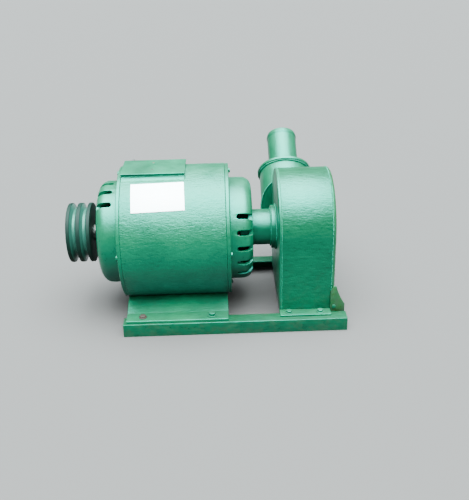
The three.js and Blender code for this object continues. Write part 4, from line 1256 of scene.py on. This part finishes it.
wet_bronze, tree, shader, place = new_material("wet_bronze")
casting_skin = noise(tree, place, 240.0, 4.0, 0.6)
patina = noise(tree, place, 55.0, 4.0, 0.6)
polish = ramp(tree, noise(tree, place, 25.0, 2.0), 0.35, 0.7)
metal = blended(tree, polish, (0.34, 0.20, 0.075), (0.50, 0.33, 0.14))
tarnished = ramp(tree, patina, 0.50, 0.70, 0.0, 0.8)
feed(tree, shader, {"Base Color": blended(tree, tarnished, metal, (0.10, 0.13, 0.075)),
                    "Metallic": ramp(tree, patina, 0.45, 0.70, 1.0, 0.35),
                    "Roughness": ramp(tree, casting_skin, 0.3, 0.7, 0.26, 0.48),
                    "Normal": relief(tree, casting_skin, 0.22)})

nozzle_fit = pipe_inside - CLEAR
nozzle = turned("nozzle_casting", [
    (NOZZLE_BORE, NOZZLE_TIP, 1.0), (NOZZLE_BORE + NOZZLE_WALL, NOZZLE_TIP, 1.5),
    (NOZZLE_NECK_RADIUS, NOZZLE_NECK, 12.0), (nozzle_fit, NOZZLE_END - 8, 2.0), (nozzle_fit, NOZZLE_END, 0.6),
    (nozzle_fit - NOZZLE_WALL, NOZZLE_END, 0.6), (NOZZLE_NECK_RADIUS - NOZZLE_WALL, NOZZLE_NECK, 12.0)],
    112, on_slope, 8)
hand_over(nozzle, wet_bronze, "nozzle", slot="bronze")


# SHAFT
# Turned steel, stepped for the pulley, the bearings, the rotor core and the runner, with a drilled centre.
# It still shows the fine lines of the lathe, and brown stains.
ROTOR_SEAT_RADIUS = 19.0
RUNNER_SEAT_RADIUS = 12.0
SHAFT_LEFT = -303.0
SHAFT_RIGHT = 143.0
CENTRE_HOLE = 2.6
PULLEY_LEFT = -305.5
PULLEY_RIGHT = -261.5
PULLEY_SEAT = SHAFT_RADIUS - 1.0
RUNNER_LEFT = INLET_X - 15.0
RUNNER_RIGHT = INLET_X + 15.0

turned_steel, tree, shader, place = new_material("turned_steel")
tool_lines = noise(tree, drawn_out(tree, place, (1500.0, 40.0, 40.0)), 1.0, 2.0)
stains = noise(tree, place, 48.0, 5.0, 0.65)
stained = ramp(tree, stains, 0.50, 0.66, 0.0, 0.85)
feed(tree, shader, {"Base Color": blended(tree, stained, (0.17, 0.20, 0.185), (0.10, 0.055, 0.030)),
                    "Metallic": ramp(tree, stains, 0.50, 0.66, 1.0, 0.25),
                    "Roughness": ramp(tree, stains, 0.45, 0.68, 0.26, 0.72),
                    "Normal": relief(tree, tool_lines, 0.06)})

pulley_step = PULLEY_RIGHT + CLEAR
rotor_steps = (CORE_LEFT - 8, CORE_RIGHT + 8)
runner_step = RUNNER_LEFT - CLEAR
shaft = turned("shaft_turning", [
    (0, SHAFT_LEFT + 4, 0), (CENTRE_HOLE, SHAFT_LEFT, 0.3), (PULLEY_SEAT - 1, SHAFT_LEFT, 0.2),
    (PULLEY_SEAT, SHAFT_LEFT + 1, 0.2), (PULLEY_SEAT, pulley_step, 0.4), (SHAFT_RADIUS, pulley_step, 0.4),
    (SHAFT_RADIUS, rotor_steps[0], 0.5), (ROTOR_SEAT_RADIUS, rotor_steps[0], 0.5),
    (ROTOR_SEAT_RADIUS, rotor_steps[1], 0.5), (SHAFT_RADIUS, rotor_steps[1], 0.5),
    (SHAFT_RADIUS, runner_step, 0.4), (RUNNER_SEAT_RADIUS, runner_step, 0.4),
    (RUNNER_SEAT_RADIUS, SHAFT_RIGHT - 1, 0.3), (RUNNER_SEAT_RADIUS - 1, SHAFT_RIGHT, 0.3),
    (0, SHAFT_RIGHT, 0)], 96, rounding=3)
hand_over(shaft, turned_steel, "shaft", slot="bright_steel", body="rotor")


# PULLEY
# Cast iron with two wedge grooves, painted dark green and pushed onto the end of the shaft.
# The flanks of the grooves are worn to bright metal with a green tinge.
PULLEY_RADIUS = 56.0
PULLEY_MIDDLE = (PULLEY_LEFT + PULLEY_RIGHT) / 2
GROOVE_PITCH = 19.0
GROOVE_WIDTH = 12.0
GROOVE_FLOOR = 5.0
GROOVE_DEPTH = 11.0
PULLEY_PAINT = ((0.001, 0.007, 0.005), (0.002, 0.012, 0.008))
PULLEY_EDGE = (0.02, 0.05, 0.035)
PULLEY_DUST = (0.05, 0.11, 0.08)
WORN_GROOVE = (0.020, 0.085, 0.062)

pulley_paint, tree, shader, place = new_material("worn_pulley")
from_shaft = vectors(tree, "SUBTRACT", place, SHAFT_POINT)
reach = vectors(tree, "LENGTH", drawn_out(tree, from_shaft, (0.0, 1.0, 1.0)))
along = put(tree, "ShaderNodeSeparateXYZ", {0: from_shaft}).outputs["X"]
off_middle = sums(tree, "ABSOLUTE", sums(tree, "SUBTRACT", along, PULLEY_MIDDLE * MILLIMETRE))
off_groove = sums(tree, "ABSOLUTE", sums(tree, "SUBTRACT", off_middle, GROOVE_PITCH / 2 * MILLIMETRE))
worn_width = [(GROOVE_WIDTH / 2 + beyond) * MILLIMETRE for beyond in (0.8, -0.2)]
worn_reach = [(PULLEY_RADIUS - under) * MILLIMETRE for under in (0.4, 2.0)]
in_groove = times(tree, ramp(tree, off_groove, *worn_width), ramp(tree, reach, *worn_reach))
worn = times(tree, in_groove, ramp(tree, noise(tree, place, 60.0, 4.0, 0.6), 0.30, 0.62, 0.55, 1.0))
lathe_marks = noise(tree, drawn_out(tree, place, (2600.0, 30.0, 30.0)), 1.0, 2.0)
edges = use_group(tree, edge_wear, {"Place": place, "Width": 0.0012, "Break Up": 130.0})
weather_and_shade = use_group(tree, weathering_and_shade, {"Place": place, "Dust": 0.03, "Splash Height": 0.02, "Mud": 0.0})
paint = blended(tree, ramp(tree, noise(tree, place, 35.0, 4.0), 0.3, 0.7), *PULLEY_PAINT)
# Over the pulley's paint: worn edges, dust, worn grooves, and painted shade under downward faces
for share, over in ((times(tree, edges["Wear"], 0.4), PULLEY_EDGE), (weather_and_shade["Dust"], PULLEY_DUST),
                    (worn, WORN_GROOVE), (weather_and_shade["Painted Shade"], PAINTED_SHADE_BELOW)):
    paint = blended(tree, share, paint, over)
feed(tree, shader, {"Base Color": paint, "Metallic": times(tree, worn, 0.35),
                    "Roughness": ramp(tree, worn, 0.0, 1.0, 0.60, 0.28), "Specular IOR Level": 0.1,
                    "Normal": relief(tree, lathe_marks, 0.10)})

pulley_outline = [(PULLEY_SEAT + CLEAR, PULLEY_LEFT, 0.5), (PULLEY_RADIUS, PULLEY_LEFT, 1.2)]
for groove in (PULLEY_MIDDLE - GROOVE_PITCH / 2, PULLEY_MIDDLE + GROOVE_PITCH / 2):
    for radius, aside in ((PULLEY_RADIUS, -GROOVE_WIDTH), (PULLEY_RADIUS - GROOVE_DEPTH, -GROOVE_FLOOR),
                          (PULLEY_RADIUS - GROOVE_DEPTH, GROOVE_FLOOR), (PULLEY_RADIUS, GROOVE_WIDTH)):
        pulley_outline.append((radius, groove + aside / 2, 1.0))
pulley_outline += [(PULLEY_RADIUS, PULLEY_RIGHT, 1.2), (PULLEY_SEAT + CLEAR, PULLEY_RIGHT, 0.5)]
hand_over(turned("belt_pulley", pulley_outline, 192), pulley_paint, "pulley",
          slot="dark_green_enamel", body="rotor")


# COOLING FAN
# A pressed disc with straight blades, painted green; its pale green is painted light that lifts the shade
# inside the bell, seen through the vents.
# It is fixed to the shaft behind the vents of the right bell.
FAN_RADIUS = 84.0
FAN_LEFT = -8.0
FAN_RIGHT = 8.0
FAN_BLADES = 10
FAN_DISC = 2.5
FAN_HUB = 26.0
BLADE_LOW = FAN_HUB + 12
BLADE_HIGH = FAN_RADIUS - 1
BLADE_THICKNESS = 3.0

# Pale green: painted light for the shaded inside of the bell
fan_paint_painted_light = grained("fan_paint_painted_light", 70.0, (0.4, 0.7), (0.02, 0.17, 0.10), (0.06, 0.26, 0.17), (0.5, 0.8), 0.15)

fan_bore = SHAFT_RADIUS + CLEAR
disc_face = FAN_LEFT + FAN_DISC
fan_disc = turned("fan_disc", [
    (fan_bore, FAN_LEFT, 0.3), (FAN_RADIUS, FAN_LEFT, 0.6), (FAN_RADIUS, disc_face, 0.6),
    (FAN_HUB, disc_face, 2.0), (FAN_HUB, FAN_RIGHT, 0.8), (fan_bore, FAN_RIGHT, 0.5)], 96)
blade = block(((FAN_LEFT + 1 + FAN_RIGHT) / 2, 0, (BLADE_LOW + BLADE_HIGH) / 2),
              (FAN_RIGHT - FAN_LEFT - 1, BLADE_THICKNESS, BLADE_HIGH - BLADE_LOW))
blades = ring_of(round_edges(blade, 0.8, above=38.0, segments=3), FAN_BLADES, fan_paint_painted_light)
hand_over(joined("fan_wheel", [fan_disc, blades]), fan_paint_painted_light, "cooling_fan",
          slot="laminated_iron", body="rotor")


# RUNNER
# A bronze wheel with sixteen double buckets, cast round a disc with a hub.
# Each bucket is two cups with a sharp ridge between them, and a notch in its outer edge.
RUNNER_HUB_RADIUS = 24.0
RUNNER_DISC_RADIUS = 48.0
RUNNER_DISC_HALF = 5.0
BUCKET_COUNT = 16
BUCKET_RADIUS = 60.0
BUCKET_HALF_WIDTH = 20.5
BUCKET_HALF_HEIGHT = 17.0
BUCKET_DEPTH = 14.0
BUCKET_WALL = 2.0
NOTCH_WIDTH = 12.0
NOTCH_DEPTH = 6.0
CUP_RISE = 0.3


def half_bowl(x, half_width, depth, half_height, rise, around, up):
    """Half of a stretched ball below the bucket's mouth, hung under the origin at the buckets' distance"""
    slopes = [math.radians(90 - 90 * k / up) for k in range(1, up + 1)]
    levels = [(math.cos(slope), -math.sin(slope)) for slope in slopes]
    if rise:
        levels.append((1.0, rise))
    turns = [math.tau * i / around for i in range(around)]
    rings = [[MILLIMETRE * Vector((x, -depth, -BUCKET_RADIUS))]]
    for spread, level in levels:
        rings.append([MILLIMETRE * Vector((x + half_width * spread * math.cos(turn), depth * level,
                                           -BUCKET_RADIUS + half_height * spread * math.sin(turn)))
                      for turn in turns])
    return skinned("bucket", rings)


bucket = half_bowl(0.0, BUCKET_HALF_WIDTH, BUCKET_DEPTH, BUCKET_HALF_HEIGHT, 0.0, 48, 10)
cup_width = BUCKET_HALF_WIDTH / 2 - BUCKET_WALL
cup_centre = (BUCKET_HALF_WIDTH - BUCKET_WALL / 2) / 2
for side in (-1, 1):
    cut(bucket, half_bowl(side * cup_centre, cup_width, BUCKET_DEPTH - 2 * BUCKET_WALL,
                          BUCKET_HALF_HEIGHT - BUCKET_WALL, CUP_RISE, 36, 8))
bucket_edge = -BUCKET_RADIUS - BUCKET_HALF_HEIGHT
cut(bucket, block((0, 0, bucket_edge), (NOTCH_WIDTH, 4 * BUCKET_DEPTH, 2 * NOTCH_DEPTH)))
buckets = ring_of(round_edges(bucket, 0.4, above=35.0), BUCKET_COUNT, wet_bronze)
for vertex in buckets.data.vertices:
    vertex.co.x += INLET_X * MILLIMETRE
disc_left = INLET_X - RUNNER_DISC_HALF
disc_right = INLET_X + RUNNER_DISC_HALF
wheel = turned("runner_disc", [
    (RUNNER_SEAT_RADIUS + CLEAR, RUNNER_LEFT, 0.5), (RUNNER_HUB_RADIUS, RUNNER_LEFT, 1.5),
    (RUNNER_HUB_RADIUS, disc_left, 3.0), (RUNNER_DISC_RADIUS, disc_left, 1.0),
    (RUNNER_DISC_RADIUS, disc_right, 1.0), (RUNNER_HUB_RADIUS, disc_right, 3.0),
    (RUNNER_HUB_RADIUS, RUNNER_RIGHT, 1.5), (RUNNER_SEAT_RADIUS + CLEAR, RUNNER_RIGHT, 0.5)], 96)
hand_over(joined("runner_wheel", [wheel, buckets]), wet_bronze, "pelton_runner", slot="bronze", body="rotor")


# RUNNER NUT
# A thin hexagon nut of turned steel, screwed onto the end of the shaft.
# It keeps the runner on its seat.
NUT_LENGTH = 10.0
NUT_RADIUS = 16.0
NUT_BORE = RUNNER_SEAT_RADIUS + CLEAR
NUT_STEPS = 48


def nut_point(radius, x, angle):
    """Point of the nut: round in its bore, and no farther out than its six flats elsewhere"""
    if radius > NUT_BORE:
        from_flat = (angle % (math.pi / 3)) - math.pi / 6
        radius = min(radius, NUT_RADIUS * math.cos(math.pi / 6) / math.cos(from_flat))
    return at(RUNNER_RIGHT + CLEAR + x, radius * math.sin(angle), radius * math.cos(angle))


nut = skinned("runner_nut_steel", [ring_around(nut_point, radius, x, NUT_STEPS) for radius, x in (
    (NUT_BORE, 0.0), (NUT_RADIUS - 1.2, 0.0), (NUT_RADIUS, 1.4), (NUT_RADIUS, NUT_LENGTH - 1.4),
    (NUT_RADIUS - 1.2, NUT_LENGTH), (NUT_BORE, NUT_LENGTH))], looped=True)
hand_over(nut, turned_steel, "runner_nut", slot="bright_steel", body="rotor")
